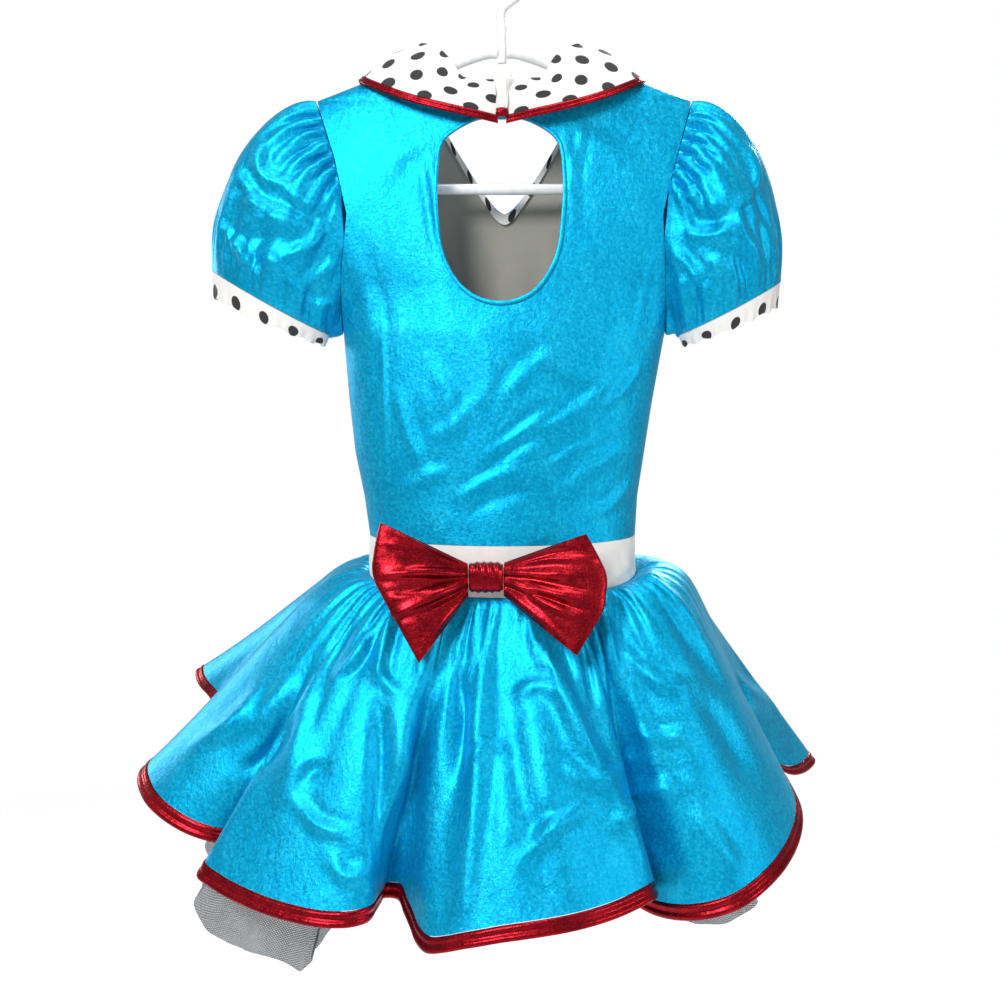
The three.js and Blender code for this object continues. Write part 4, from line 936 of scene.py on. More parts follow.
# %% [markdown]
# ## Sleeves and cuffs
# A short puffed sleeve is gathered into the armhole and again into the cuff. Each sleeve is a tube of curves
# from the armhole to the cuff. The sharp satin folds are charted from behind, and the front has its own set
# mirrored from the other sleeve, as both hang the same way.

# %% Shapes of the sleeves
# crown: the cap's rise; upper and lower: a cuff's edge as outer x, z and inner x, z; dots: their shift
SLEEVES = [
    dict(name="left", side=-1, crown=108,
         upper=(-264, -289, -158, -348), lower=(-263, -314, -163, -358), dots=(2.0, 2.5)),
    dict(name="right", side=1, crown=101,
         upper=(254, -299, 162, -348), lower=(251, -322, 167, -358), dots=(9.0, 2.5))]
# how many places each row of the armhole gets, from the shoulder down, and which rows are gathered
SLEEVE_SPLITS = [1, 1, 3, 5, 6, 2, 2, 2]
GATHERED_ROWS = (2, 3, 4)
PIT_ROW = 4
CUFF_HALF_DEPTH = 33
# part of the way, gathers of the cap, folds, gathers at the cuff
SLEEVE_RINGS = np.array([
    (0, 0, 0, 0), (0.05, 2.4, 0, 0), (0.17, 2.6, 1.2, 0), (0.36, 1.2, 3.2, 0),
    (0.6, 0, 3.5, 0.6), (0.86, 0, 1.0, 2.2), (1, 0, 0, 0)])
LEFT_SLEEVE_CREASES = charted([
    (322, 118, 305, 122, 285, 128, 2.2, 1.6), (325, 128, 306, 134, 288, 142, 2.2, 1.6),
    (327, 138, 308, 144, 290, 150, 2.4, 1.8), (329, 148, 312, 154, 296, 162, 2.4, 1.8),
    (331, 157, 315, 166, 303, 177, 2.4, 1.6), (334, 167, 322, 177, 312, 186, 2.4, 1.4),
    (318, 108, 300, 110, 280, 118, 2.4, 1.4), (257, 140, 263, 175, 292, 186, 5.5, 4.0),
    (292, 186, 308, 174, 325, 168, 4, 2.5), (275, 195, 300, 212, 322, 222, 6, -3.5),
    (219, 225, 242, 252, 260, 282, 4.5, 3.0), (275, 262, 306, 248, 331, 222, 5, 3.2),
    (331, 222, 336, 205, 334, 190, 4, 2.0), (232, 200, 262, 205, 282, 222, 5, 2.8),
    (240, 235, 265, 238, 300, 236, 9, -4.0), (300, 290, 318, 275, 335, 262, 5, 2.0),
    (225, 240, 222, 262, 225, 280, 6, 2.0), (232, 170, 250, 190, 262, 222, 5, 2.4),
    (262, 250, 285, 272, 300, 300, 5, 2.4), (305, 300, 320, 305, 332, 300, 4, 1.8)],
    SLEEVE_DEPTH, rise=1.35)
RIGHT_SLEEVE_CREASES = charted([
    (690, 118, 705, 120, 725, 130, 2.2, 1.5), (690, 135, 702, 135, 715, 141, 2.2, 1.6),
    (688, 145, 702, 148, 728, 155, 2.4, 2.0), (686, 156, 700, 160, 720, 168, 2.4, 1.8),
    (684, 166, 698, 172, 715, 182, 2.4, 1.6), (680, 178, 692, 184, 705, 190, 2.2, 1.4),
    (750, 142, 758, 175, 748, 199, 5, 3.5), (748, 199, 741, 201, 734, 204, 4, 2.5),
    (735, 204, 739, 228, 760, 262, 4.5, 3.2), (676, 192, 690, 196, 702, 194, 5, 2.0),
    (682, 232, 710, 236, 738, 224, 5.5, 3.2), (690, 213, 712, 220, 730, 212, 7, -3.2),
    (708, 256, 714, 265, 718, 275, 6, 2.5), (762, 225, 770, 245, 772, 265, 5, 2.2),
    (700, 270, 690, 280, 675, 290, 5, 2.0), (725, 250, 740, 262, 745, 280, 8, -3.0),
    (672, 250, 690, 268, 704, 292, 5, 2.2), (742, 170, 752, 210, 772, 236, 4, 2.0)],
    SLEEVE_DEPTH, rise=1.35)


def armhole_line(grid, normals, column):
    places, outward, gathered = [], [], []
    for k, splits in enumerate(SLEEVE_SPLITS):
        high = TOP_ROW - k
        for n in range(splits):
            t = n / splits
            place = mix(grid[column, high], grid[column, high - 1], t)
            normal = unit(mix(normals[column, high], normals[column, high - 1], t))
            place = place + np.array([np.sign(place[0]) * (SEAM + 0.2 + 2 * abs(normal[0])), 0, 0])
            places.append(place)
            outward.append(normal)
            gathered.append(k in GATHERED_ROWS)
    return places, outward, gathered


def bezier(p0, p1, p2, p3, t):
    t = np.asarray(t)[:, None]
    return (1 - t) ** 3 * p0 + 3 * (1 - t) ** 2 * t * p1 + 3 * (1 - t) * t**2 * p2 + t**3 * p3


def sleeve_ring(row):
    """Places in order round the armhole, the outward direction of each and whether it is gathered."""
    side = row["side"]
    column = 0 if side < 0 else len(COLUMNS) - 1
    halves, lows = [], []
    for back in (True, False):
        grid, normals = coarse_bodice(back)
        halves.append(armhole_line(grid, normals, column))
        lows.append(grid[column, PIT_ROW])
    tip = (halves[0][0][0] + halves[1][0][0]) / 2 + np.array([side * 0.4, 0, 0])
    pit = (lows[0] + lows[1]) / 2 + np.array([side * 2.5, 0, -1])
    tip_out, pit_out = unit(np.array([side * 0.2, 0, 1.0])), np.array([side, 0, 0.0])
    ends = ((tip, pit), (tip_out, pit_out), (False, False))
    return [np.array([at_tip, *behind[1:], at_pit, *before[:0:-1]])
            for (at_tip, at_pit), behind, before in zip(ends, *halves)]


def cuff_ring(rim, turn):
    outer_x, outer_z, inner_x, inner_z = rim
    centre = np.array([(outer_x + inner_x) / 2, 0, (outer_z + inner_z) / 2])
    axis = np.array([(outer_x - inner_x) / 2, 0, (outer_z - inner_z) / 2])
    swing = np.sin(turn)[:, None]
    bulge = np.concatenate([0 * swing, -CUFF_HALF_DEPTH * swing, -1.5 * swing**2], axis=1)
    return centre + axis * np.cos(turn)[:, None] + bulge


def sleeve_sections(row, places, gathered, turn):
    """Sections from the armhole to the cuff, with their gathers and folds, and the tube's centre."""
    side, total = row["side"], len(places)
    up, swell = (1 + np.cos(turn)) / 2, np.sin(turn)
    ends = cuff_ring(row["upper"], turn)
    base = []
    for k in range(total):
        first = np.array([side * (5 + 29 * up[k]), -30 * swell[k] * (0.3 + 0.7 * up[k]), -2 + 10 * up[k]])
        second = np.array([-side * 2 * up[k], -32 * swell[k], row["crown"] * up[k] + 2])
        base.append(bezier(places[k], places[k] + first, ends[k] + second, ends[k], SLEEVE_RINGS[:, 0]))
    base = np.array(base)
    centre = (base[0, 3] + base[total // 2, 3]) / 2
    normals = grid_normals(base, True)
    normals = turned_to(normals, normals[0, 3] @ (base[0, 3] - centre))
    caps, folds, cuffs = [SLEEVE_RINGS[None, :, column] for column in (1, 2, 3)]
    zigzag = np.where(np.arange(total) % 2 == 0, -1, 1)
    cap = np.where(gathered, zigzag, 0)[:, None] * caps
    fold = (np.sin(5 * turn + side) * (0.5 + 0.5 * np.cos(turn / 2) ** 2))[:, None] * folds
    cuff = np.cos(12 * turn)[:, None] * cuffs
    return raised(base, normals, cap + fold + cuff), centre


def sleeve_relief(grid, normals, creases, other):
    """The charted creases behind, the other sleeve's in front, and small gathers above the cuff."""
    count, rows = grid.shape[:2]
    behind, before = np.clip(-normals[..., 1] * 2, 0, 1), np.clip(normals[..., 1] * 2, 0, 1)
    relief = crease_relief(grid[..., 0], grid[..., 2], creases) * behind
    relief = relief + 0.8 * crease_relief(grid[..., 0], grid[..., 2], mirrored(other)) * before
    part = np.linspace(0, 1, rows)[None, :]
    around = 2 * np.pi * round_parts(count)[:, None]
    wave = 0.9 * np.sin(37 * around + 2 * np.sin(5 * around))
    small = wave * np.clip((part - 0.75) / 0.2, 0, 1) * (1 - part) / 0.1
    return relief * edge_fade(count, rows, top=3, bottom=6, closed=True) + np.clip(small, -0.9, 0.9)


def cuff_band(start, lower, count, rows=17):
    """The cuff from the sleeve's edge down, and the same band with its puckers and its wavy edge."""
    strip = np.stack([start + unit(lower - start) * (SEAM + 0.3), lower], axis=1)
    band = refine(strip, round_parts(count), np.linspace(0, 1, rows), closed=True)
    normals = grid_normals(band, True)
    middle = rows // 2
    normals = turned_to(normals, normals[0, middle] @ (band[0, middle] - band[count // 2, middle]))
    part, around = np.linspace(0, 1, rows)[None, :], 2 * np.pi * round_parts(count)[:, None]
    pucker = np.sin(29 * around + 1.5 * np.sin(4 * around)) * part**1.5
    wavy = raised(band, normals, 0.8 * pucker)
    wavy[..., 2] += 1.3 * np.sin(14 * around + 1) * part**2
    return wavy, normals


def make_sleeve(row, creases, other):
    places, outward, gathered = sleeve_ring(row)
    turn = 2 * np.pi * np.arange(len(places)) / len(places)
    coarse, centre = sleeve_sections(row, places, gathered, turn)
    count, rows = len(places) * 5, 66
    down = np.interp(np.linspace(0, 1, rows), SLEEVE_RINGS[:, 0], np.linspace(0, 1, len(SLEEVE_RINGS)))
    grid = refine(coarse, round_parts(count), down, closed=True)
    normals = grid_normals(grid, True)
    normals = turned_to(normals, normals[0, rows // 2] @ (grid[0, rows // 2] - centre))
    grid = raised(grid, normals, sleeve_relief(grid, normals, creases, other))
    cuff, cuff_normals = cuff_band(coarse[:, -1], cuff_ring(row["lower"], turn), count)
    seam = unit(smooth_through(outward, round_parts(count), closed=True))
    seam = seam * np.where((seam * normals[:, 2]).sum(-1, keepdims=True) < 0, -1, 1)
    normals[:, 0], normals[:, -1] = seam, cuff_normals[:, 0]
    cloth_wall("sleeve_" + row["name"], velour, grid, normals, VELOUR_HALF, closed=True)
    cotton = make_cotton("dotted_cotton_cuff_" + row["name"], row["dots"], one_row=True)
    half = COTTON_WALL / 2
    cloth_wall("cuff_" + row["name"], cotton, cuff, cuff_normals, half, closed=True)


make_sleeve(SLEEVES[0], LEFT_SLEEVE_CREASES, RIGHT_SLEEVE_CREASES)
make_sleeve(SLEEVES[1], RIGHT_SLEEVE_CREASES, LEFT_SLEEVE_CREASES)

# %% [markdown]
# ## Waistband
# A plain white band goes all round, narrower in front. It is softly wrinkled, because it is cut on the
# straight and the weight of the skirt pulls its lower edge down.

# %% Waistband
WAIST_X, WAIST_WIDE, WAIST_DEEP = 0.5, 121.5, 62.0
WAIST_TOP, WAIST_BOTTOM, BOTTOM_DIP = -531.0, -568.0, 0.23


def waist_place(angle, z, grow, dip):
    y = -(WAIST_DEEP + grow) * np.sin(angle)
    return np.stack([WAIST_X - (WAIST_WIDE + grow) * np.cos(angle), y, z + dip * y], axis=-1)


def waist_out(angle):
    return unit(np.stack([-np.cos(angle) / WAIST_WIDE, -np.sin(angle) / WAIST_DEEP, 0 * angle], axis=-1))


def puff_weight(angle):
    return np.where(np.sin(angle) > 0, np.abs(np.cos(angle)) ** 3, 1.0)


def waist_seam_normal(angle):
    tilt = np.radians(25 + 25 * puff_weight(angle))[..., None]
    return waist_out(angle) * np.cos(tilt) + np.array([0, 0, 1.0]) * np.sin(tilt)


def make_waistband():
    angle = 2 * np.pi * np.arange(48) / 48
    top = waist_place(angle, WAIST_TOP - SEAM, 0, WAIST_DIP)
    bottom = waist_place(angle, WAIST_BOTTOM, 1, BOTTOM_DIP)
    coarse = np.stack([top, mix(top, bottom, 0.7), bottom], axis=1)
    turned = np.stack([waist_out(angle), waist_out(angle), waist_seam_normal(angle)], axis=1)
    across, down = round_parts(240), np.linspace(0, 1, 25)
    grid = refine(coarse, across, down, closed=True)
    normals = unit(refine(turned, across, down, closed=True))
    around, part = 2 * np.pi * across[:, None], down[None, :]
    wrinkle = np.sin(13 * around + 5 * part + 2 * np.sin(3 * around)) + 0.6 * np.sin(31 * around - 7 * part)
    band = raised(grid, normals, 0.55 * wrinkle * np.sin(np.pi * part) ** 1.2)
    cloth_wall("waistband", plain_cotton, band, normals, VELOUR_HALF, closed=True)


make_waistband()

# %% [markdown]
# ## Skirt
# The skirt is nearly a full circle gathered a little into the band. Its hem is the plan of the folds: where
# the line turns back on itself the cloth folds under. From the band the rows run down to that line, so every
# fold starts as a gather and grows. Long soft creases and small ones follow what shows from behind.

# %% Lines of the hem
# places along the hem from one side seam to the other: across, to the front and up, in millimetres
BACK_HEM = [
    (-322, 62, -753), (-342, 15, -757), (-341, -8, -763), (-325, -38, -779), (-292, -56, -797),
    (-262, -58, -807), (-246, -56, -811), (-247, -69, -815), (-262, -76, -821), (-273, -86, -829),
    (-257, -101, -837), (-234, -117, -844), (-200, -136, -851), (-152, -152, -856), (-120, -146, -855),
    (-110, -116, -850), (-105, -88, -849), (-95, -92, -847), (-82, -120, -862), (-67, -154, -877),
    (-36, -174, -868), (-2, -180, -860), (32, -180, -855), (66, -172, -851), (101, -156, -845),
    (134, -130, -837), (134, -108, -842), (118, -90, -850), (120, -74, -860), (140, -90, -866),
    (172, -116, -861), (208, -122, -849), (244, -100, -829), (269, -64, -808), (279, -30, -789),
    (275, 2, -773), (262, 50, -760), (260, 80, -757)]
FRONT_HEM = [
    (260, 80, -757), (262, 94, -761), (271, 108, -773), (288, 120, -787), (311, 145, -790),
    (324, 172, -783), (300, 200, -786), (262, 200, -806), (232, 176, -826), (204, 168, -838),
    (176, 188, -838), (140, 212, -832), (100, 216, -832), (66, 194, -842), (44, 160, -854),
    (20, 158, -858), (-4, 188, -850), (-38, 214, -836), (-78, 216, -832), (-108, 192, -840),
    (-126, 162, -848), (-150, 158, -842), (-172, 188, -824), (-204, 218, -796), (-244, 232, -758),
    (-286, 226, -712), (-318, 202, -695), (-314, 178, -704), (-294, 150, -719), (-286, 118, -736),
    (-296, 86, -748), (-322, 62, -753)]
SKIRT_SPANS = 68
# part of the way down, depth of the gathers, how far the cloth puffs out
SKIRT_ROWS = np.array([
    (0, 0, 0), (0.05, 1.8, 14), (0.16, 1.8, 22), (0.36, 0.8, 19), (0.66, 0, 11), (1, 0, 0)])
HEM_BAND, HEM_START = 15.0, 0.6
HEM_RIDGES = [0.7, 1.5, 1.95, 2.0, 1.6, 1.0, 0.8, 1.1, 1.7, 2.05, 1.95, 1.5, 0.8]


def soft_line(points, passes=60):
    line = points.copy()
    for _ in range(passes):
        line[1:-1] = (line[:-2] + line[2:]) * 0.25 + line[1:-1] * 0.5
    return line


def skirt_sections(hem_rows, start):
    points = np.array(hem_rows, float)
    t = np.linspace(0, 1, 201)
    length = np.linalg.norm(np.diff(smooth_through(points, t), axis=0), axis=1).sum()
    part = np.arange(SKIRT_SPANS + 1) / SKIRT_SPANS
    low = even_places(points, mix(0.25 / length, 1 - 0.25 / length, part))
    soft = soft_line(low)
    part = mix(0.0008, 0.9992, part)
    angle = start + np.pi * part
    seam, level = waist_seam_normal(angle), waist_out(angle)
    down = level * seam[:, 2:3]
    down[:, 2] = -(level * seam).sum(-1)
    top = waist_place(angle, WAIST_BOTTOM, 1, BOTTOM_DIP) + down * (SEAM + 0.15)
    full = 1 - HEM_BAND / np.linalg.norm(low - top, axis=1)
    column = np.arange(SKIRT_SPANS + 1)
    zigzag = np.where(column % 2 == 0, -1, 1)
    uneven = 0.45 + 0.4 * np.sin(column * 0.61 + 1.7 * np.sin(column * 0.23))
    edge = np.sin(np.pi * part) ** 0.3
    weight = puff_weight(angle)
    puff_out = unit(level + np.array([0, 0, 1.0]))
    puff_size = weight * mix(1.0, 1.65, (1 - np.cos(angle)) / 2)
    bulge = unit(np.stack([top[:, 0] - WAIST_X, top[:, 1] * 2.5, np.full(len(top), 60.0)], axis=-1))
    rows = []
    for share, gather, puff in SKIRT_ROWS:
        t = (share * full)[:, None]
        place = mix(top, soft, t) + (low - soft) * t**1.35
        place = place + bulge * (12 * (1 - weight) * np.sin(np.pi * t[:, 0]))[:, None]
        ruck = gather * zigzag * edge * uneven
        place = place + puff_out * (puff * puff_size)[:, None] + level * ruck[:, None]
        rows.append(place)
    return np.stack(rows, axis=1), low, seam, angle


print("hem of", len(BACK_HEM) + len(FRONT_HEM), "places")

# %% Skirt panels and their bindings
SKIRT_CREASES = charted([
    (420, 665, 395, 780, 366, 905, 9, 4.0), (440, 600, 432, 760, 425, 930, 10, 3.0),
    (376, 700, 382, 800, 378, 895, 9, -6.0), (510, 600, 585, 740, 660, 890, 9, 3.5),
    (480, 610, 478, 760, 462, 920, 8, 3.0), (500, 640, 520, 780, 560, 930, 12, -3.0),
    (640, 570, 672, 605, 702, 645, 7, 4.0), (655, 575, 690, 640, 740, 720, 8, -3.5),
    (600, 620, 640, 720, 700, 880, 10, 3.0), (585, 640, 592, 680, 598, 720, 6, -4.0),
    (610, 590, 612, 640, 620, 700, 6, 3.0), (330, 650, 300, 740, 280, 820, 12, 3.5),
    (350, 620, 320, 690, 300, 760, 8, -3.0), (290, 690, 250, 730, 190, 760, 12, 3.0),
    (400, 600, 385, 640, 372, 700, 5, 3.0), (365, 640, 355, 665, 330, 690, 4, 3.0),
    (375, 670, 385, 690, 400, 700, 4, 2.0), (295, 805, 320, 825, 345, 830, 5, 3.0),
    (300, 790, 310, 775, 330, 770, 4, -2.0), (470, 760, 490, 745, 510, 750, 4, 2.0),
    (510, 700, 540, 690, 560, 705, 5, 2.5), (640, 740, 660, 745, 690, 742, 5, 3.0),
    (600, 830, 650, 800, 690, 790, 7, 3.0), (520, 850, 550, 820, 590, 800, 7, 3.0),
    (700, 700, 730, 740, 760, 800, 10, -3.0), (690, 810, 720, 850, 740, 880, 9, 2.5),
    (450, 660, 460, 720, 455, 780, 6, -2.5), (540, 640, 570, 720, 600, 790, 8, 3.0),
    (250, 700, 220, 740, 170, 775, 7, 2.5), (460, 640, 448, 720, 440, 800, 7, 3.0),
    (330, 850, 350, 870, 372, 860, 6, 2.5), (230, 790, 260, 770, 290, 730, 7, -3.0),
    (620, 650, 660, 690, 700, 700, 6, 2.5), (560, 760, 590, 780, 640, 770, 6, 2.5)],
    SKIRT_DEPTH, rise=1.9)


DEEPEST_TROUGH = -8
SKIRT_COLUMNS, SKIRT_FINE_ROWS, TOP_ROWS = SKIRT_SPANS * 4 + 1, 78, 18
SKIRT_ACROSS = np.linspace(0, 1, SKIRT_COLUMNS)
SKIRT_PARTS = np.concatenate([
    np.linspace(0, 0.12, TOP_ROWS, endpoint=False), np.linspace(0.12, 1, SKIRT_FINE_ROWS - TOP_ROWS)])


def skirt_panel(node, side, hem, start, creases):
    coarse, low, seam, _ = skirt_sections(hem, start)
    down = np.interp(SKIRT_PARTS, SKIRT_ROWS[:, 0], np.linspace(0, 1, len(SKIRT_ROWS)))
    grid = refine(coarse, SKIRT_ACROSS, down)
    normals = grid_normals(grid)
    normals = turned_to(normals, normals[SKIRT_COLUMNS // 2, SKIRT_FINE_ROWS // 2, 1] * side)
    return dict(node=node, edge=coarse[:, -1], low=low, grid=grid, normals=normals, creases=creases,
                seam=unit(smooth_through(seam, SKIRT_ACROSS)))


def skirt_relief(grid, normals, creases):
    """The charted creases, short gathers under the band and a long soft drift."""
    part, line = SKIRT_PARTS[None, :], np.arange(SKIRT_COLUMNS)[:, None]
    facing = np.clip(np.abs(normals[..., 1]) * 1.6, 0, 1)
    relief = np.maximum(crease_relief(grid[..., 0], grid[..., 2], creases), DEEPEST_TROUGH) * facing
    uneven = 0.6 + 0.4 * np.sin(line * 0.21 + 1.4 * np.sin(line * 0.057))
    near_band = np.exp(-(((part - 0.07) / 0.11) ** 2))
    gathers = uneven * np.sin(line * 0.93 + 2.6 * np.sin(line * 0.11)) * near_band
    drift = np.sin(line * 0.083 + 3 * part + 1.3 * np.sin(line * 0.031)) * np.sin(np.pi * part)
    return (relief + 1.1 * gathers + 2.2 * drift) * edge_fade(SKIRT_COLUMNS, SKIRT_FINE_ROWS, 6, 3, 5)


def make_hem(panel, end_normals):
    normal = smooth_through(end_normals, np.linspace(0, 1, SKIRT_SPANS + 1))
    drop = panel["low"] - panel["edge"]
    drop = unit(drop - normal * (drop * normal).sum(-1, keepdims=True))
    reach = (HEM_START, (HEM_START + HEM_BAND) / 2, HEM_BAND)
    strip = np.stack([panel["edge"] + drop * far for far in reach], axis=1)
    fine = refine(strip, SKIRT_ACROSS, np.linspace(0, 1, len(HEM_RIDGES)))
    foil_strip("hem_" + panel["node"], fine, end_normals, HEM_RIDGES, 1.0)


def make_skirt():
    panels = [skirt_panel("back", -1, BACK_HEM, 0.0, SKIRT_CREASES),
              skirt_panel("front", 1, FRONT_HEM, np.pi, mirrored(SKIRT_CREASES))]
    for one, other in (panels, panels[::-1]):
        shared = unit(one["normals"][-1] + other["normals"][0])
        one["normals"][-1] = other["normals"][0] = shared
    for panel in panels:
        grid, normals = panel["grid"], panel["normals"]
        relief = skirt_relief(grid, normals, panel["creases"])
        end_normals = normals[:, -1].copy()
        normals[:, 0] = panel["seam"]
        creased = raised(grid, normals, relief)
        cloth_wall("skirt_" + panel["node"], velour, creased, normals, VELOUR_HALF)
        make_hem(panel, end_normals)


make_skirt()

# %% [markdown]
# ## Petticoat
# Stiff net is gathered into the waist seam and stands in ruffles that hold the skirt out. It shows under the
# hem. The waves grow from nothing at the waist to their full depth at the edge, with smaller ones between.

# %% Petticoat
# places round the lower edge: across, to the front and up, in millimetres
PETTICOAT_HEM = [
    (-272, 0, -822), (-277, -48, -848), (-268, -64, -888), (-248, -74, -896), (-212, -84, -902),
    (-182, -90, -916), (-158, -84, -886), (-130, -76, -840), (-92, -62, -838), (-50, -70, -842),
    (0, -78, -842), (50, -76, -842), (100, -62, -850), (138, -70, -866), (172, -76, -876),
    (206, -74, -876), (232, -52, -852), (238, 0, -812), (232, 70, -790), (214, 120, -800),
    (150, 136, -826), (75, 132, -838), (0, 128, -842), (-75, 130, -836), (-150, 126, -818),
    (-214, 124, -790), (-252, 60, -784)]
PETTICOAT_TOP, PETTICOAT_INSIDE, NET_HALF = -568.5, 0.8, 0.5


def make_petticoat():
    waves, depth, columns = 20, 5.0, 60
    part = round_parts(columns)
    low = even_places(PETTICOAT_HEM, part, closed=True)
    angle = np.arctan2(-low[:, 1] / WAIST_DEEP, -(low[:, 0] - WAIST_X) / WAIST_WIDE)
    top = waist_place(angle, PETTICOAT_TOP, -PETTICOAT_INSIDE, BOTTOM_DIP)
    level = unit(np.stack([low[:, 0] - WAIST_X, low[:, 1], np.zeros(columns)], axis=-1))
    wave = np.cos(part * waves * 2 * np.pi)
    rows = (0, 0.35, 0.7, 1)
    coarse = np.stack([mix(top, low, t) + level * (wave * depth * t)[:, None] for t in rows], axis=1)
    count, steps = 300, 56
    t = np.linspace(0, 1, steps)
    grid = refine(coarse, round_parts(count), np.interp(t, rows, np.linspace(0, 1, 4)), closed=True)
    normals = grid_normals(grid, True)
    normals = turned_to(normals, -normals[0, 20, 0])
    around, part = 2 * np.pi * round_parts(count)[:, None], t[None, :]
    frill = np.sin(33 * around + 2.5 * np.sin(7 * around)) + 0.5 * np.sin(57 * around + 3 * part)
    frilled = raised(grid, normals, 2.6 * frill * np.clip((part - 0.45) / 0.5, 0, 1) ** 1.3)
    cloth_wall("petticoat", net, frilled, normals, NET_HALF, closed=True)


make_petticoat()

# %% [markdown]
# ## Bow
# Each loop is one strip that runs out from the knot, turns at its outer edge and comes back behind. Its folds
# start at the knot and fan out. The knot is a short pleated band wrapped round the middle.

# %% Bow loops
BOW_LOOPS = [
    dict(name="left", side=-1, knot=(-30.2, -77, -550, -579), outer=[
        (-106, -84, -513), (-111, -87, -535), (-112.5, -90, -558), (-104, -95, -576), (-95.5, -99, -591),
        (-84, -104, -611), (-72, -109, -632)]),
    dict(name="right", side=1, knot=(1.8, -77, -549, -578), outer=[
        (73, -84, -523), (83, -87, -541), (91, -90, -560), (90, -94, -574), (88, -98, -587),
        (77, -103, -606), (64.5, -108, -626)])]
FOIL_HALF = 0.6
# part of the way out and how thick the loop is there
BOW_PATH = [(0, 3.5), (0.2, 7.5), (0.5, 11), (0.8, 9), (0.95, 5), (1, 2)]
BOW_LEFT_CREASES = charted([
    (465, 575, 420, 572, 381, 575, 3.2, 3.0), (470, 583, 425, 600, 386, 617, 3.5, 3.0),
    (468, 565, 430, 545, 390, 530, 3.5, 2.0), (472, 592, 440, 625, 420, 655, 4, 2.0),
    (450, 582, 420, 587, 385, 592, 3, -1.8), (408, 550, 398, 545, 388, 545, 3, 1.5)], BOW_DEPTH)
BOW_RIGHT_CREASES = charted([
    (507, 570, 550, 560, 600, 560, 3.5, 2.5), (507, 583, 550, 605, 585, 618, 3.2, 3.0),
    (505, 560, 545, 548, 580, 540, 3.5, 2.0), (505, 592, 540, 620, 570, 648, 4, 2.0),
    (522, 578, 556, 585, 596, 592, 3, -1.8)], BOW_DEPTH)


BOW_FOLDS, BOW_FOLD_DEPTH, BOW_SECTIONS = 7, 2.6, 10


def make_bow(row, creases):
    knot_x, knot_y, knot_top, knot_bottom = row["knot"]
    coarse = []
    for q in range(BOW_SECTIONS + 1):
        part = q / BOW_SECTIONS
        end = smooth_through(row["outer"], [part])[0]
        start = np.array([knot_x, knot_y, mix(knot_top, knot_bottom, part)])
        crease, edge = math.cos(part * math.pi * BOW_FOLDS), math.sin(math.pi * part)
        out, home = [], []
        for share, thick in BOW_PATH:
            full = thick * (0.55 + 0.45 * edge)
            lift = full + BOW_FOLD_DEPTH * crease * math.sin(math.pi * min(share + 0.12, 1))
            out.append(mix(start, end, share) - np.array([0, lift, 0]))
            home.append(mix(start, end, share) + np.array([row["side"] * 0.6 * (share == 1), full * 0.35, 0]))
        coarse.append(out + home[::-1])
    count, steps = 71, 89
    grid = refine(np.array(coarse), np.linspace(0, 1, count), np.linspace(0, 1, steps))
    normals = grid_normals(grid)
    normals = turned_to(normals, -normals[count // 2, steps // 4, 1])
    front = np.clip(-normals[..., 1] * 2.5, 0, 1)
    relief = crease_relief(grid[..., 0], grid[..., 2], creases) * front * edge_fade(count, steps, 5, 5, 5)
    cloth_wall("bow_" + row["name"], foil, raised(grid, normals, relief), normals, FOIL_HALF)


make_bow(BOW_LOOPS[0], BOW_LEFT_CREASES)
make_bow(BOW_LOOPS[1], BOW_RIGHT_CREASES)

# %% Bow knot
KNOT_X, KNOT_Z, KNOT_HALF_WIDTH, KNOT_HALF_HEIGHT = -14.2, -562, 15.2, 14.2
KNOT_FRONT, KNOT_BACK = 87, 64.3


def squared(value):
    """A sine or cosine pushed outwards, so that a ring's corners are fuller than a circle's."""
    return np.sign(value) * np.abs(value) ** 0.7


def make_knot():
    count, steps = 72, 33
    angle = 2 * np.pi * round_parts(count)
    depth, centre = (KNOT_FRONT - KNOT_BACK) / 2, -(KNOT_FRONT + KNOT_BACK) / 2
    rings = []
    for u in np.linspace(-1, 1, steps):
        pleat = 0.09 * np.abs(np.sin(2.5 * np.pi * u + 0.6 + 0.35 * np.sin(angle)))
        size = (1 - pleat) * (1 - 0.16 * abs(u) ** 5)
        y = centre + depth * size * squared(np.cos(angle))
        z = KNOT_Z + KNOT_HALF_HEIGHT * size * squared(np.sin(angle))
        rings.append(np.stack([np.full(count, KNOT_X + u * KNOT_HALF_WIDTH), y, z], axis=-1))
    return ringed_solid("bow_knot", foil, rings)


make_knot()

# %% [markdown]
# ## Hanger
# A plain tube of white plastic: two arms under the shoulders, a bar between their ends and a hook. A curve
# with a round bevel is a tube by itself, and here it becomes a mesh before it takes its place in the frame.

# %% Hanger tubes
TUBE, HOOK_TUBE, HOOK_RADIUS = 5, 4, 22
HANGER_FOOT, HANGER_NECK, HOOK_TURN = -103, -74, -56
BAR_Z, BAR_HALF, ARM_REACH = -216, 118, 152
HANGER_X = 0.75
# half the shoulder's width, and how far the arm's middle lies under the ridge
SHOULDER_HALF, ARM_UNDER = 169, 8.2
# just under the solid's own size, because a bevel's corners lie on the full radius
BEVEL_SHARE = 0.995


def arm_height(x):
    slope = (NECK_SIDE - SHOULDER_TIP) / (SHOULDER_HALF * (1 - NECK_S))
    ridge = NECK_SIDE + (NECK_S * SHOULDER_HALF - abs(x - HANGER_X)) * slope
    return ridge - ARM_UNDER * math.sqrt(1 + slope * slope)


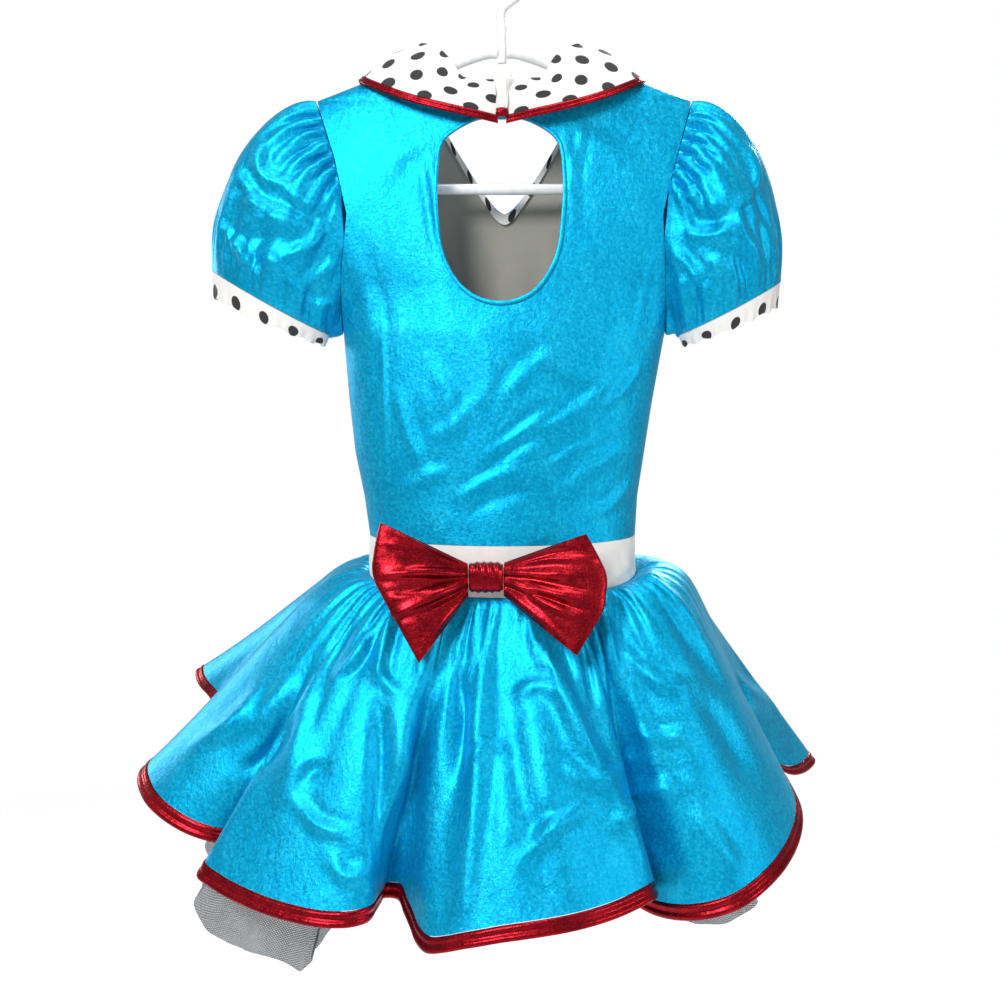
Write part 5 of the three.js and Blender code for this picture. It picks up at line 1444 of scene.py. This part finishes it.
def tube(node, points, radius, steps):
    places = smooth_through(points, np.linspace(0, 1, steps)) * MM
    curve = bpy.data.curves.new(node, "CURVE")
    curve.dimensions = "3D"
    curve.bevel_depth = radius * MM * BEVEL_SHARE
    curve.bevel_resolution = 5
    curve.use_fill_caps = True
    line = curve.splines.new("POLY")
    line.points.add(len(places) - 1)
    for point, place in zip(line.points, places):
        point.co = (*place, 1)
    holder = bpy.data.objects.new(node + "_line", curve)
    bpy.context.scene.collection.objects.link(holder)
    mesh = bpy.data.meshes.new_from_object(holder.evaluated_get(bpy.context.evaluated_depsgraph_get()))
    bpy.data.objects.remove(holder)
    made = new_object(node + "_tube", mesh, plastic)
    bm = bmesh.new()
    bm.from_mesh(mesh)
    bmesh.ops.remove_doubles(bm, verts=bm.verts, dist=1e-6)
    bmesh.ops.recalc_face_normals(bm, faces=bm.faces)
    bm.to_mesh(mesh)
    bm.free()
    finish_piece(made, node)
    return made


def arm_places(side):
    """An arm from the hook's stem out along the shoulder, round its end and back to the bar."""
    near = [(HOOK_TUBE + SEAM, arm_height(40) + 2), (12, arm_height(40) + 2), (40, arm_height(40) - 7),
            (68, arm_height(68) - 10), (80, arm_height(80) - 7)]
    far = [(95, arm_height(95 + HANGER_X) - 1), (130, arm_height(130 + HANGER_X)),
           (146, arm_height(ARM_REACH) - 4), (146, arm_height(ARM_REACH) - 22),
           (138, BAR_Z + 12), (126, BAR_Z), (BAR_HALF + 0.4, BAR_Z)]
    return [(side * x, 0, z) for x, z in near] + [(HANGER_X + side * x, 0, z) for x, z in far]


def make_hanger():
    tube("hanger_arm_left", arm_places(-1), TUBE, 90)
    tube("hanger_arm_right", arm_places(1), TUBE, 90)
    tube("hanger_bar", [(HANGER_X - BAR_HALF, 0, BAR_Z), (HANGER_X + BAR_HALF, 0, BAR_Z)], TUBE, 12)
    hook = [(0, 0, HANGER_FOOT), (0, 0, HANGER_NECK), (0, 0, HOOK_TURN)]
    centre = HOOK_RADIUS + HOOK_TUBE
    for turn in (-60, -25, 10, 45, 80, 115, 150, 180):
        angle = math.radians(turn)
        hook.append((centre * math.cos(angle), 0, -HOOK_RADIUS + centre * math.sin(angle)))
    tube("hanger_hook", hook, HOOK_TUBE, 110)


make_hanger()

# %% [markdown]
# ## Stage
# A pale floor and even light from large lamps, as in a plain studio. The camera stands where the photographer
# did: behind the dress, a little above its middle, looking slightly down.

# %% Floor, light and camera
# metres, up from the hook, and the light's level: what lights the cloth, and what the camera sees
FLOOR_Z, FLOOR_RADIUS, FLOOR_FADE = -1.25, 2.4, (0.5, 2.2)
STUDIO_LIGHT, SEEN_LIGHT = 0.40, 1.0
LAMP_AIM = (0, 0, -0.5)
# name, place, size in metres and power in watts
LAMPS = [
    ("key_lamp", (-0.9, -2.0, 0.75), 0.7, 48),
    ("fill_lamp", (1.9, -1.4, -0.2), 0.7, 11),
    ("top_lamp", (0.1, -0.3, 1.4), 0.7, 14),
    ("far_key_lamp", (0.9, 2.0, 0.75), 0.8, 42),
    ("far_fill_lamp", (-1.9, 1.3, -0.1), 0.8, 12)]


def make_floor():
    mesh = bpy.data.meshes.new("studio_floor")
    bm = bmesh.new()
    bmesh.ops.create_circle(bm, cap_ends=True, segments=96, radius=FLOOR_RADIUS)
    bmesh.ops.translate(bm, verts=bm.verts, vec=(0, 0, FLOOR_Z))
    bm.to_mesh(mesh)
    bm.free()
    material, tree, surface = new_material("pale_floor", Roughness=0.9)
    place = place_of(tree)
    colour = ramp(tree, noise(tree, place, 1.5, 3.0), [(0.3, (0.9, 0.9, 0.9)), (0.7, (0.94, 0.94, 0.94))])
    tree.links.new(colour, surface.inputs["Base Color"])
    reach = vector_node(tree, "LENGTH", vector_node(tree, "MULTIPLY", place, (1, 1, 0)))
    tree.links.new(map_range(tree, reach, FLOOR_FADE, (1.0, 0.0)), surface.inputs["Alpha"])
    new_object("studio_floor", mesh, material)


def make_world():
    world = bpy.data.worlds.new("studio")
    bpy.context.scene.world = world
    world.use_nodes = True
    tree = world.node_tree
    sky = tree.nodes["Background"]
    sky.inputs["Color"].default_value = (1, 1, 1, 1)
    direct = tree.nodes.new("ShaderNodeLightPath").outputs["Is Camera Ray"]
    level = map_range(tree, direct, (0.0, 1.0), (STUDIO_LIGHT, SEEN_LIGHT))
    tree.links.new(level, sky.inputs["Strength"])


def lamp(name, place, size, power):
    data = bpy.data.lights.new(name, "AREA")
    data.shape = "DISK"
    data.size = size
    data.energy = power
    made = bpy.data.objects.new(name, data)
    bpy.context.scene.collection.objects.link(made)
    made.location = place
    made.rotation_mode = "QUATERNION"
    made.rotation_quaternion = (Vector(LAMP_AIM) - Vector(place)).to_track_quat("-Z", "Y")


def make_camera():
    view = bpy.data.cameras.new("viewer")
    view.sensor_width = 36
    view.lens = PHOTO_FOCAL / (2 * PHOTO_CENTRE) * view.sensor_width
    camera = bpy.data.objects.new("viewer", view)
    bpy.context.scene.collection.objects.link(camera)
    camera.location = VIEWER * MM
    camera.rotation_euler = (math.pi / 2 - VIEW_DOWN, 0, 0)
    bpy.context.scene.camera = camera
    print("camera at", tuple(camera.location))


make_floor()
make_world()
for name, place, size, power in LAMPS:
    lamp(name, place, size, power)
make_camera()
bpy.context.scene.view_settings.view_transform = "Standard"
